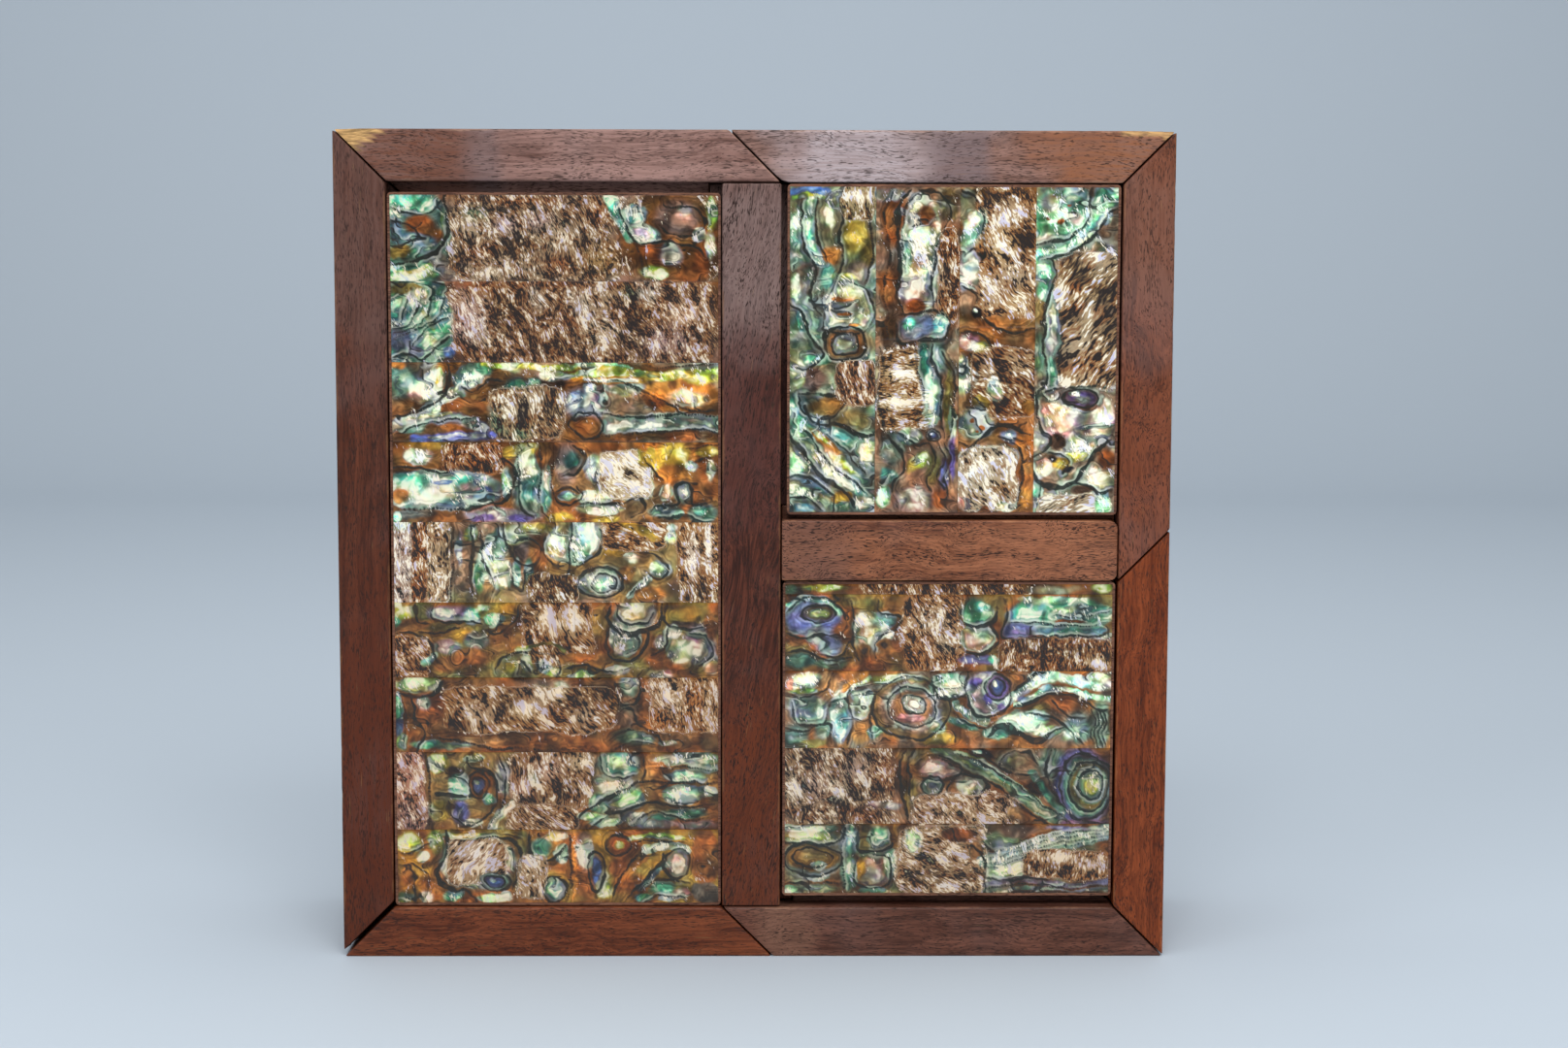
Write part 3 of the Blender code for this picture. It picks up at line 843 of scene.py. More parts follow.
wall("left_wall", mitre(OPEN_MITRE_SHIFT, 1), mitre(COLUMN_END, -1), left_side, 1,
     reshape=close_bottom_left)
wall("top_wall_left", mitre(MITRE_SHIFT, 1), scarf(TOP_FAR, -1, TOP_NEAR), top_side, 2,
     rubbed=True, reshape=chip_top_left, worn_end=True)
wall("top_wall_right", worn_scarf(TOP_FAR, TOP_FAR + LEDGE_GAP), mitre(ROW_END, -1), top_side, 3,
     front=FRONT + TOP_STEP, reshape=wear_top_right)
wall("right_wall_upper", mitre(MITRE_SHIFT, 1), scarf(RIGHT_FAR, -1, RIGHT_NEAR), right_side, 4)
wall("right_wall_lower", scarf(RIGHT_FAR, 1, RIGHT_FAR + LEDGE_GAP), mitre(COLUMN_END, -1), right_side, 5)
wall("bottom_wall_right", mitre(MITRE_SHIFT, 1), scarf(BOTTOM_FAR, -1, BOTTOM_NEAR), bottom_side, 6,
     rubbed=True)
wall("bottom_wall_left", scarf(BOTTOM_FAR, 1, BOTTOM_FAR + LEDGE_GAP), mitre(ROW_END, -1), bottom_side, 7,
     rubbed=True)

# %% [markdown]
# The partitions carry a ledge on both sides. The upright one is notched where the cross partition's
# ledge meets it, and the cross one has the corners of its right end worn round.

# %% The two partitions
NOTCH_LOW, NOTCH_HIGH = CROSS_BOTTOM - LEDGE_GAP, CROSS_TOP + LEDGE_GAP
UPRIGHT_MIDDLE, UPRIGHT_HALF = (UPRIGHT_LEFT + UPRIGHT_RIGHT) / 2, (UPRIGHT_RIGHT - UPRIGHT_LEFT) / 2
CROSS_MIDDLE, CROSS_HALF = (CROSS_BOTTOM + CROSS_TOP) / 2, (CROSS_TOP - CROSS_BOTTOM) / 2
ROUND_END = 2.2 * MM


def square(place):
    """A square end."""
    return lambda across, parts: np.full(np.shape(across), place)


def notch_upright(across, depth, along, bare):
    """Draw the right ledge in to the partition's side between the notch's two ends."""
    inside = (along > NOTCH_LOW) & (along < NOTCH_HIGH) & (across > UPRIGHT_HALF)
    return np.where(inside, UPRIGHT_HALF + SLIVER, across), depth, along, bare


def round_cross_end(across, depth, along, bare):
    """Near its right end, the part of the section in front of the lids narrows along a quarter circle."""
    near_end = np.clip(1 - (CROSS_END - along) / ROUND_END, 0, 1)
    narrowing = ROUND_END * (1 - np.sqrt(1 - near_end**2))
    room = np.maximum(CROSS_HALF - narrowing, 0)
    in_front = depth < RECESS_FLOOR - MM
    return np.where(in_front, np.clip(across, -room, room), across), depth, along, bare


def partition(name, half, start, end, place_of, seed, reshape, extra=()):
    """One partition, swept between square ends."""
    arrises = [(-half, FRONT), (half, FRONT)]
    section = partition_section(half)
    return sweep_board(name, section, square(start), square(end), place_of, arrises, seed, extra, reshape)


UPRIGHT_LOW, UPRIGHT_TOP = WALL + GAP, BOX_HEIGHT - WALL - GAP
CROSS_START, CROSS_END = UPRIGHT_RIGHT + GAP, HALF_WIDTH - WALL - GAP
UPRIGHT_RUN = UPRIGHT_TOP - UPRIGHT_LOW - 2 * END_RADIUS
NOTCH_RINGS = [(place - UPRIGHT_LOW - END_RADIUS) / UPRIGHT_RUN
               for edge in (NOTCH_LOW, NOTCH_HIGH) for place in (edge - SLIVER, edge + SLIVER)]
partition("upright_partition", UPRIGHT_HALF, UPRIGHT_LOW, UPRIGHT_TOP,
          lambda along, across: (UPRIGHT_MIDDLE + across, along), 8, notch_upright, NOTCH_RINGS)
partition("cross_partition", CROSS_HALF, CROSS_START, CROSS_END,
          lambda along, across: (along, CROSS_MIDDLE + across), 9, round_cross_end,
          [1 - share * ROUND_END / (CROSS_END - CROSS_START) for share in (0.1, 0.25, 0.45, 0.7)])

# %% [markdown]
# The lid boards and the back board already have their true shapes, so they keep them and only get wood.
# A lid board shows as a thin rim round its shell, and on the back when a lid is out.

# %% Lid boards and back board
for node in ("tall_lid_board", "upper_lid_board", "lower_lid_board"):
    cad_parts[node].material_slots[0].material = LID_WOOD
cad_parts["back_board"].material_slots[0].material = BACK_WOOD
print("boards that keep their own shape: 4")

# %% [markdown]
# The lids are faced with strips of cut shell. Its colours are clouds of teal, lime, pink and silver
# with dark growth lines between them, and where the cut met the shell's outer layers it shows fine
# leaning strands, dark and bright side by side. The clouds are painted on the mesh's points, and the
# shader adds what is finer than the mesh: strands, glints and the fringes that follow growth lines.

# %% Hues
HUES = {
    "rust": (0.27, 0.085, 0.022), "brown": (0.19, 0.078, 0.02), "dark": (0.04, 0.024, 0.016),
    "black": (0.01, 0.01, 0.012), "tan": (0.36, 0.2, 0.08), "orange": (0.62, 0.24, 0.045),
    "amber": (0.52, 0.29, 0.035), "yellow": (0.72, 0.62, 0.09), "lime": (0.47, 0.6, 0.12),
    "olive": (0.2, 0.17, 0.045), "green": (0.1, 0.3, 0.13), "teal": (0.07, 0.24, 0.2),
    "aqua": (0.17, 0.66, 0.6), "mint": (0.44, 0.86, 0.58), "blue": (0.1, 0.18, 0.5),
    "sky": (0.42, 0.6, 0.78), "violet": (0.15, 0.1, 0.36), "lilac": (0.42, 0.34, 0.5),
    "pink": (0.72, 0.42, 0.48), "rose": (0.5, 0.2, 0.28), "cream": (0.86, 0.78, 0.58),
    "white": (0.93, 0.94, 0.88), "silver": (0.44, 0.4, 0.36), "grey": (0.2, 0.19, 0.165),
    "mauve": (0.22, 0.14, 0.12), "sienna": (0.3, 0.115, 0.03),
}


def hue(name):
    """A hue by its name, or two names joined by + for their mean."""
    return np.mean([HUES[part] for part in name.split("+")], axis=0)


# %% [markdown]
# A strip's points are kept as flat arrays, in millimetres from the left and top edges of its lid's
# field. Every mark is worked out for all points at once. The places are first bent by noise, so that
# a plain ellipse or line comes out as uneven as a growth of shell.
#
# The marks themselves are short rows of text. A row is a verb and its entries, with slashes between
# them, and an entry is its hues and its places, with commas between the places:
#
# - `on`: the two hues of the ground, which lie in slow clouds.
# - `dab`, `hard`, `tint`: ovals x, y, half width, half height, and a tilt in degrees if there is one.
#   A dab has a soft edge, a hard one a crisp edge, and a tint colours strands and leaves them there.
# - `hair`: a patch of strands between two corners, then the strands' lean in degrees, and how much
#   coarser than usual they are if there is a sixth number.
# - `band`: a ribbon's width, then the places it runs through.
# - `line`, `ring`: the row's first number is the line's width, and then come the places it runs
#   through, or the ring's oval.
# - `eye`: a pearl-like core in a rim, as one oval.

# %% Painting a strip of shell
NO_LINE_NEAR = 3.0


class Strip:
    """The points of one strip of shell and what is painted on them."""

    def __init__(self, x, y, seed):
        self.x = x + 0.5 * cloud(x / 4.5, y / 4.5, seed) + 0.2 * cloud(x / 1.2, y / 1.2, seed + 5)
        self.y = y + 0.5 * cloud(x / 4.5, y / 4.5, seed + 2) + 0.2 * cloud(x / 1.2, y / 1.2, seed + 7)
        self.plain_x, self.plain_y = x, y
        self.paint = np.zeros((len(x), 3))
        self.strand_share = np.zeros(len(x))
        self.lean = np.full(len(x), 64.0)
        self.coarse = np.ones(len(x))
        self.line_distance = np.full(len(x), NO_LINE_NEAR)
        self.line_side = np.zeros(len(x))
        self.seed = seed

    def read(self, marks):
        """Do every row of marks in turn."""
        for row in marks.strip().splitlines():
            verb, rest = row.split(" ", 1)
            width = []
            if verb in ("line", "ring"):
                number, rest = rest.split(" ", 1)
                width = [float(number)]
            for entry in rest.split(" / "):
                words = entry.split(" ")
                hues = [word for word in words if word[0].isalpha()]
                places = " ".join(words[len(hues):]).split(",")
                places = [[float(number) for number in place.split()] for place in places if place]
                getattr(self, verb)(*width, *hues, *places)

    def on(self, name, other):
        """The ground that the marks lie on: two hues in slow clouds."""
        share = np.clip(0.5 + 1.3 * cloud(self.x / 6, self.y / 5, self.seed + 23, 2), 0, 1)[:, None]
        self.paint[:] = hue(name) * (1 - share) + hue(other) * share

    def oval(self, x, y, rx, ry, tilt=0.0, power=2.0):
        """1 on an ellipse's edge, less inside. Power 5 squares it off."""
        turn = math.radians(tilt)
        dx, dy = self.x - x, self.y - y
        along = dx * math.cos(turn) + dy * math.sin(turn)
        across = dy * math.cos(turn) - dx * math.sin(turn)
        return (np.abs(along / rx) ** power + np.abs(across / ry) ** power) ** (1 / power)

    def lay(self, name, reach, soft, amount=1.0, keep_hair=False):
        """Mix a hue in where the reach is below 1, with painted shading that makes it lighter in the middle
        and darker at the rim, and clear the strands.
        """
        share = np.clip((1 + soft - reach) / (2 * soft), 0, 1)
        share = amount * share * share * (3 - 2 * share)
        # Painted shading: the hue is lifted in the middle and dimmed at the rim, as if each mark were
        # domed.
        dome_shading = 0.78 + 0.5 * np.clip(1 - reach, 0, 1)
        self.paint += (hue(name) * dome_shading[:, None] - self.paint) * share[:, None]
        if not keep_hair:
            self.strand_share *= 1 - share

    def dab(self, name, *places, soft=0.3):
        """Soft-edged ovals."""
        for place in places:
            self.lay(name, self.oval(*place), soft)

    def hard(self, name, *places):
        """Crisp-edged ovals."""
        self.dab(name, *places, soft=0.12)

    def tint(self, name, *places):
        """Ovals that colour the strands and leave them there."""
        for place in places:
            self.lay(name, self.oval(*place), 0.8, 0.7, keep_hair=True)

    def hair(self, name, *patches):
        """Squared patches of strands. A sixth number makes them that much coarser."""
        for x0, y0, x1, y1, lean, *coarse in patches:
            reach = self.oval((x0 + x1) / 2, (y0 + y1) / 2, (x1 - x0) / 2, (y1 - y0) / 2, 0, 5)
            share = np.clip((1.1 - reach) / 0.2, 0, 1)
            self.paint += (hue(name) - self.paint) * share[:, None]
            self.strand_share = np.maximum(self.strand_share, share)
            self.lean[reach < 1] = lean
            self.coarse[reach < 1] = coarse[0] if coarse else 1

    def curve(self, points, closed=False):
        """A smooth curve through given points, as close-set places along it."""
        p = np.array(points, float)
        if closed:
            p = np.vstack([p[-1], p, p[0], p[1]])
        else:
            p = np.vstack([2 * p[0] - p[1], p, 2 * p[-1] - p[-2]])
        t = np.linspace(0, 1, 16)[:, None]
        a, b, c, d = p[:-3, None], p[1:-2, None], p[2:-1, None], p[3:, None]
        bent = b + 0.5 * t * (c - a + t * (2 * a - 5 * b + 4 * c - d + t * (3 * (b - c) + d - a)))
        return bent.reshape(-1, 2)

    def away(self, places, half):
        """How far the strip's points are beyond a curve's half width, and on which side of it they
        lie, from -1 to 1. Only the points near the curve are worked out."""
        low, high = places.min(axis=0) - 3, places.max(axis=0) + 3
        inside = (self.x > low[0]) & (self.x < high[0]) & (self.y > low[1]) & (self.y < high[1])
        near = np.flatnonzero(inside)
        distance, side = np.full(len(self.x), 9.0), np.zeros(len(self.x))
        if len(near):
            dx = self.x[near, None] - places[None, :, 0]
            dy = self.y[near, None] - places[None, :, 1]
            apart = np.hypot(dx, dy)
            closest = (apart - half).argmin(axis=1)
            row = np.arange(len(near))
            distance[near] = (apart - half)[row, closest]
            way = np.gradient(places, axis=0)[closest]
            way /= np.linalg.norm(way, axis=1)[:, None] + 1e-9
            cross = way[:, 0] * dy[row, closest] - way[:, 1] * dx[row, closest]
            side[near] = cross / (0.25 + np.abs(cross))
        return distance, side

    def line(self, width, *points, closed=False):
        """A dark growth line through the points. It swells and thins, and tapers at its ends."""
        places = self.curve(points, closed)
        run = np.linspace(0, 1, len(places))
        taper = 1.0 if closed else 0.3 + 0.7 * np.sin(np.pi * run) ** 0.4
        swell = 1 + 0.55 * cloud(places[:, 0] / 2.5, places[:, 1] / 2.5, self.seed, 2)
        distance, side = self.away(places, width / 2 * taper * swell)
        closer = distance < self.line_distance
        self.line_distance[closer] = distance[closer]
        self.line_side[closer] = side[closer]

    def band(self, name, start, *points):
        """A ribbon of a hue along a smooth curve."""
        width, *first = start
        distance, _ = self.away(self.curve([first, *points]), 0.0)
        self.lay(name, distance / (width / 2), 0.3)

    def ring(self, width, *ovals):
        """A growth line that closes round an oval."""
        turn = np.linspace(0, 2 * math.pi, 11)[:-1]
        for x, y, rx, ry in ovals:
            self.line(width, *np.stack([x + rx * np.cos(turn), y + ry * np.sin(turn)], axis=1), closed=True)

    def eye(self, core, rim, oval):
        """A small dark pearl-like core in a rim of another hue, with a painted highlight on the core and
        growth lines round both.
        """
        x, y, rx, ry = oval
        self.dab(rim, (x, y, 1.5 * rx, 1.5 * ry))
        self.hard(core, (x, y, rx, ry))
        # A painted highlight: a small white dab up and to the left of the core's middle.
        self.dab("white", (x - 0.3 * rx, y - 0.35 * ry, 0.22 * rx + 0.15, 0.2 * ry + 0.15))
        self.ring(0.35, (x, y, rx, ry), (x, y, 1.6 * rx, 1.6 * ry))

    def veins(self, scale=5.0, width=0.22):
        """A few extra growth lines where slow noise is near nought, kept out of the strands."""
        field = cloud(self.plain_x / scale, self.plain_y / (0.6 * scale), self.seed, 2)
        patchy = cloud(self.plain_x / (1.5 * scale), self.plain_y / scale, self.seed + 23, 2)
        distance = np.abs(field) * scale * 0.5 - width / 2
        distance += 2.5 * self.strand_share + 3.0 * np.clip(0.25 - patchy, 0, 1)
        closer = distance < self.line_distance
        self.line_distance[closer] = distance[closer]
        self.line_side[closer] = np.sign(field[closer])

    def shimmer(self):
        """Uneven light and hue in the smooth parts: stronger and weaker, cooler and warmer."""
        light = cloud(self.plain_x / 3.2, self.plain_y / 2.6, self.seed + 11)
        warmth = cloud(self.plain_x / 4.5, self.plain_y / 3.5, self.seed + 13)
        share = 1 - 0.8 * np.clip(self.strand_share, 0, 1)
        self.paint *= (1 + 0.32 * share * light)[:, None]
        self.paint *= 1 + np.outer(share * warmth, (0.2, -0.06, -0.25))
        self.paint = np.clip(self.paint, 0.004, 1.0)

    def strand_place(self):
        """Each point's place along and across its strands, in millimetres, a little curved."""
        turn = np.radians(self.lean)
        x = self.plain_x + 0.9 * cloud(self.plain_x / 6, self.plain_y / 6, self.seed + 17, 2)
        y = self.plain_y + 0.9 * cloud(self.plain_x / 6, self.plain_y / 6, self.seed + 19, 2)
        along, across = x * np.cos(turn) + y * np.sin(turn), y * np.cos(turn) - x * np.sin(turn)
        return np.stack([along / self.coarse, across / self.coarse, np.full(len(x), self.seed)], axis=1)


print("hues:", len(HUES))

# %% [markdown]
# The strands are noise drawn out along their lean. Its lows are dark gaps, its middle takes the painted
# hue, and its highs are bright flakes with painted glints, a painted highlight, more of them where the
# paint is light. The glints' own hue comes from slower noise, so whole clumps of them glint lilac, blue or
# cream.

# %% Strand group
GAP_HUE, RUST_HUE, LIT_HUE = (0.018, 0.012, 0.011), (0.24, 0.09, 0.028), (0.46, 0.31, 0.15)
# Painted highlights: the hues of the flake glints, two of them brighter than white paint.
LILAC_FLAKE_GLINT, CREAM_FLAKE_GLINT, BLUE_FLAKE_GLINT = (0.72, 0.74, 1.05), (1.1, 1.04, 0.88), (1.0, 1.05, 1.15)
BODY_EDGE, LIT_EDGE, FLAKE_GLINT_EDGE = (0.425, 0.485), (0.505, 0.56), (0.585, 0.63)


def make_strand_group():
    """Colour and height of the strands, from the place along and across them and the paint."""
    inputs = {"Strand": "Vector", "Paint": "Color"}
    tree, given, wanted = new_group("shell_strands", inputs, {"Colour": "Color", "Height": "Float"})
    place, paint = given["Strand"], given["Paint"]

    def drawn_out(along, across, detail, shift=3.0, distortion=0.0):
        stretched = stretch(tree, place, (along, across, shift))
        return noise(tree, stretched, 1.0, detail, 0.6, distortion)

    light = put(tree, "ShaderNodeRGBToBW", {0: paint}).outputs[0]
    clump = calc(tree, "SUBTRACT", drawn_out(0.2, 0.36, 2.0), 0.5)
    mixed = calc(tree, "ADD", times(tree, drawn_out(0.5, 1.5, 2.0, 3.0, 0.5), 0.5),
                 times(tree, drawn_out(0.95, 2.9, 1.0), 0.5))
    level = ramp(tree, clump, 0.8, mixed)
    level = ramp(tree, calc(tree, "SUBTRACT", light, 0.15), 0.28, level)
    hue_field = drawn_out(0.22, 0.6, 2.0, 7.0)
    flake_glint_hue = blend(tree, step_up(tree, hue_field, 0.42, 0.49), LILAC_FLAKE_GLINT, CREAM_FLAKE_GLINT)
    flake_glint_hue = blend(tree, step_up(tree, hue_field, 0.55, 0.62), flake_glint_hue, BLUE_FLAKE_GLINT)
    flake_glint_hue = blend(tree, 0.3, flake_glint_hue, paint)
    rusty = step_up(tree, drawn_out(0.3, 0.45, 3.0, 5.0), 0.47, 0.58, 0.7)
    warmer = vector_calc(tree, "MULTIPLY", paint, (0.95, 0.85, 0.66))
    body = blend(tree, rusty, warmer, RUST_HUE)
    lit = blend(tree, 0.6, paint, LIT_HUE)
    colour = blend(tree, step_up(tree, level, *BODY_EDGE), GAP_HUE, body)
    colour = blend(tree, step_up(tree, level, *LIT_EDGE), colour, lit)
    # Painted highlights: the highest strands take the flake glint hue.
    colour = blend(tree, step_up(tree, level, *FLAKE_GLINT_EDGE), colour, flake_glint_hue)
    fill(tree, wanted, {"Colour": colour, "Height": level})
    return tree


# %% [markdown]
# Smooth shell is pearly where its paint is cool and light, and horny where it is brown or dark. Pearly
# shell plays in colour: each of red, green and blue is a cosine of the same slow noise. It has broad
# painted white highlights and painted shade in its hollows, faint ripples beside its growth lines, and a
# teal or violet fringe at them. Every growth line has a painted shaded side and a painted lit side, like
# the edge of a shallow step.

# %% Nacre group
PLAY_TURNS, PLAY_PHASES, PLAY_DEPTH = (9.0, 9.0, 9.0), (0.2, 2.5, 4.6), (0.26, 0.2, 0.3)
RIPPLE_TURNS = 5.5
VIOLET_FRINGE, TEAL_FRINGE = (0.14, 0.12, 0.4), (0.04, 0.3, 0.24)
HORNY_SHADOW, PEARLY_SHADOW = (0.045, 0.018, 0.008), (0.016, 0.045, 0.045)
# Painted light: the white of the broad highlights and the pale light beside growth lines; the last is the
# ink of the lines.
HIGHLIGHT_WHITE, LINE_LIGHT, LINE_INK = (0.93, 0.95, 0.84), (0.85, 0.93, 0.8), (0.014, 0.017, 0.015)


def make_nacre_group():
    """Colour, lines and height of smooth shell."""
    inputs = {"Place": "Vector", "Strand": "Vector", "Paint": "Color", "Line distance": "Float",
              "Line side": "Float"}
    outputs = {"Colour": "Color", "Lines": "Float", "Height": "Float"}
    tree, given, wanted = new_group("shell_nacre", inputs, outputs)
    paint, distance = given["Paint"], given["Line distance"]

    def by_a_line(full, none):
        """1 within the first distance of a growth line, 0 beyond the second."""
        return inverse(tree, step_up(tree, distance, full, none))

    # Where it is pearly, and the noises that the rest is made of
    in_mm = stretch(tree, given["Place"], MM_PER_METRE)
    cool_way = {0: paint, 1: (-0.8, 1.0, 1.0)}
    coolness = put(tree, "ShaderNodeVectorMath", cool_way, operation="DOT_PRODUCT").outputs["Value"]
    light = put(tree, "ShaderNodeRGBToBW", {0: paint}).outputs[0]
    pearly = times(tree, step_up(tree, coolness, 0.0, 0.2), step_up(tree, light, 0.1, 0.26))
    swell = noise(tree, in_mm, 0.2, 1.0, 0.45, 0.7)
    cloudy = noise(tree, in_mm, 0.42, 1.2, 0.45, 0.6)
    drift = noise(tree, vector_calc(tree, "ADD", in_mm, (91.0, 17.0, 53.0)), 0.2, 1.0, 0.4, 0.6)
    striae = noise(tree, stretch(tree, given["Strand"], (0.25, 1.9, 3.0)), 1.0, 2.0, 0.6)

    # Play of colour
    phase = vector_calc(tree, "MULTIPLY_ADD", drift, PLAY_TURNS, PLAY_PHASES)
    play = vector_calc(tree, "COSINE", phase)
    play = vector_calc(tree, "MULTIPLY_ADD", play, PLAY_DEPTH, (1.0, 1.0, 1.0))
    colour = blend(tree, pearly, paint, vector_calc(tree, "MULTIPLY", paint, play))

    # Teal and violet fringes
    away = ramp(tree, calc(tree, "SUBTRACT", cloudy, 0.5), 2.2, distance)
    fringe = inverse(tree, step_up(tree, away, 0.3, 1.4))
    fringe_hue = blend(tree, step_up(tree, drift, 0.46, 0.54), VIOLET_FRINGE, TEAL_FRINGE)
    fringe = times(tree, fringe, times(tree, pearly, 0.6))
    colour = blend(tree, fringe, colour, fringe_hue)

    # Painted shade in hollows, with the light and dark of striae and ripples
    shade = ramp(tree, step_up(tree, swell, 0.36, 0.6), 0.95, 0.34)
    shade = times(tree, shade, ramp(tree, step_up(tree, cloudy, 0.32, 0.68), 0.45, 0.78))
    shade = times(tree, shade, ramp(tree, striae, 0.6, 0.7))
    ripple = calc(tree, "SINE", times(tree, away, RIPPLE_TURNS))
    ripple = times(tree, ripple, by_a_line(1.0, 2.9))
    shade = times(tree, shade, ramp(tree, ripple, 0.32, 1.0))
    colour = vector_calc(tree, "SCALE", colour)
    tree.links.new(shade, colour.node.inputs["Scale"])

    # Painted white highlights on pearly shell, fewer at the fringes
    core = ramp(tree, swell, 0.6, times(tree, cloudy, 0.4))
    core = times(tree, step_up(tree, core, 0.49, 0.59, 0.85), step_up(tree, light, 0.14, 0.36))
    core = times(tree, core, pearly)
    core = times(tree, core, ramp(tree, ripple, 0.4, 0.9), clamp=True)
    core = times(tree, core, inverse(tree, fringe))
    colour = blend(tree, core, colour, HIGHLIGHT_WHITE)

    # Growth lines, each with a shaded side and a lit side
    side = ramp(tree, given["Line side"], 0.5, 0.5)
    shade_reach = ramp(tree, side, 1.2, 0.15)
    beside = by_a_line(0.0, shade_reach)
    shadow = blend(tree, pearly, HORNY_SHADOW, PEARLY_SHADOW)
    colour = blend(tree, times(tree, beside, 0.62), colour, shadow)
    lit = times(tree, step_up(tree, distance, 0.02, 0.2), inverse(tree, side))
    lit = times(tree, lit, by_a_line(0.25, 0.9))
    colour = blend(tree, times(tree, lit, times(tree, pearly, 0.4)), colour, LINE_LIGHT)
    broken = ramp(tree, step_up(tree, cloudy, 0.38, 0.48), 0.35, 0.65)
    lines = times(tree, by_a_line(-0.06, 0.12), broken)
    height = calc(tree, "SUBTRACT", times(tree, striae, 0.5), lines)
    fill(tree, wanted, {"Colour": colour, "Lines": lines, "Height": height})
    return tree


STRANDS, NACRE = make_strand_group(), make_nacre_group()

# %% [markdown]
# The shell's one material mixes the two by how much of each point is strands, with a ragged border.
# Old varnish lies over it as an amber tint, deeper on some strips than on others, and a thin clear coat
# is its polish.

# %% Shell material
CLEAR_TINT, DEEP_TINT = (1.0, 0.97, 0.88), (0.74, 0.63, 0.52)
VARNISH_DEPTH = {
    "tall": (0.8, 0.8, 0.3, 0.4, 0.3, 1, 1, 1, 1),
    "upper": (0.3, 0.3, 0.1, 0),
    "lower": (0.6, 0.5, 0.1, 1, 1),
}


def shell_material():
    """Polished shell. Its point attributes say what is painted, how much of it is strands, how far
    the nearest growth line is, and how deep the varnish is."""
    material, tree, shader = new_material("polished_shell")
    place = put(tree, "ShaderNodeTexCoord").outputs["Object"]
    paint = point_value(tree, "paint", "Color")
    hair = point_value(tree, "strand_share")
    strand = point_value(tree, "strand_place", "Vector")
    distance = point_value(tree, "line_distance")
    side = point_value(tree, "line_side")
    smooth = use_group(tree, NACRE, Place=place, Strand=strand, Paint=paint,
                       Line_distance=distance, Line_side=side)
    hairy = use_group(tree, STRANDS, Strand=strand, Paint=paint)
    ragged = ramp(tree, calc(tree, "SUBTRACT", hairy["Height"], 0.5), 2.2, hair)
    share = step_up(tree, ragged, 0.38, 0.62)
    colour = blend(tree, share, smooth["Colour"], hairy["Colour"])
    inked = times(tree, smooth["Lines"], ramp(tree, share, -0.3, 0.9))
    colour = blend(tree, inked, colour, LINE_INK)
    depth = point_value(tree, "varnish_depth")
    colour = blend(tree, 1.0, colour, blend(tree, depth, CLEAR_TINT, DEEP_TINT), "MULTIPLY")
    heights = {0: share, 2: smooth["Height"], 3: hairy["Height"]}
    height = put(tree, "ShaderNodeMix", heights, data_type="FLOAT").outputs[0]
    bump = put(tree, "ShaderNodeBump", {"Height": height, "Strength": 0.25, "Distance": 0.00008})
    fill(tree, shader.inputs, {
        "Base Color": colour, "Roughness": ramp(tree, share, 0.12, 0.22), "Normal": bump.outputs[0],
        "Specular IOR Level": 0.35, "Coat Weight": 0.2, "Coat Roughness": 0.06,
    })
    return material


POLISHED_SHELL = shell_material()
print("shell groups:", STRANDS.name, NACRE.name)

# %% [markdown]
# Each piece of shell is a thin slab. Its face is a grid of points about 0.3 mm apart, slightly uneven
# from hand polishing, with its rim turned down a touch. The rim drops straight to the back, which is one
# flat face. A slab reaches a little past its CAD block on each side, so the pieces meet tightly.

# %% Slabs of shell
SHELL_STEP = 0.3
SLAB_REACH = 0.13 * MM
RIM_DROP = 0.05 * MM
UNEVEN = 0.03 * MM


def slab_grid(node):
    """The grid of X and Z places over a node's face, from its left and top edges."""
    low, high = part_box(node)
    columns = int(math.ceil((high.x - low.x) / (SHELL_STEP * MM))) + 1
    rows = int(math.ceil((high.z - low.z) / (SHELL_STEP * MM))) + 1
    x = np.linspace(low.x - SLAB_REACH, high.x + SLAB_REACH, columns)
    z = np.linspace(high.z + SLAB_REACH, low.z - SLAB_REACH, rows)
    return np.meshgrid(x, z)


def lay_slab(node, strip, chosen, x, z):
    """One slab: the face's grid, a skirt from its rim to the back, and a flat back."""
    rows, columns = x.shape
    low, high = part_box(node)
    count = rows * columns
    index = np.arange(count).reshape(rows, columns)
    on_rim = np.zeros((rows, columns))
    on_rim[[0, -1], :] = 1
    on_rim[:, [0, -1]] = 1
    uneven = UNEVEN * (1 + cloud(x / (7 * MM), z / (7 * MM), 8.0)) + RIM_DROP * on_rim
    rim = np.concatenate([index[0, :-1], index[:-1, -1], index[-1, :0:-1], index[:0:-1, 0]])
    front_verts = np.stack([x, low.y + uneven, z], axis=-1).reshape(-1, 3)
    back_verts = front_verts[rim].copy()
    back_verts[:, 1] = high.y
    cells = np.stack([index[:-1, :-1], index[:-1, 1:], index[1:, 1:], index[1:, :-1]], axis=-1)
    below = count + np.arange(len(rim))
    skirt = np.stack([rim, below, np.roll(below, -1), np.roll(rim, -1)], axis=-1)
    faces = cells.reshape(-1, 4).tolist() + skirt.tolist() + [below[::-1].tolist()]
    values = {
        "paint": strip.paint[chosen],
        "strand_share": strip.strand_share[chosen],
        "line_distance": strip.line_distance[chosen],
        "line_side": strip.line_side[chosen],
        "strand_place": strip.strand_place()[chosen],
        "varnish_depth": strip.varnish[chosen],
    }
    values = {label: np.concatenate([value, value[rim]]) for label, value in values.items()}
    slab = mesh_object(node + "_slab", np.concatenate([front_verts, back_verts]), faces, values, 50)
    slab.data.materials.append(POLISHED_SHELL)
    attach(slab, "root")
    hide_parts(node)
    return slab


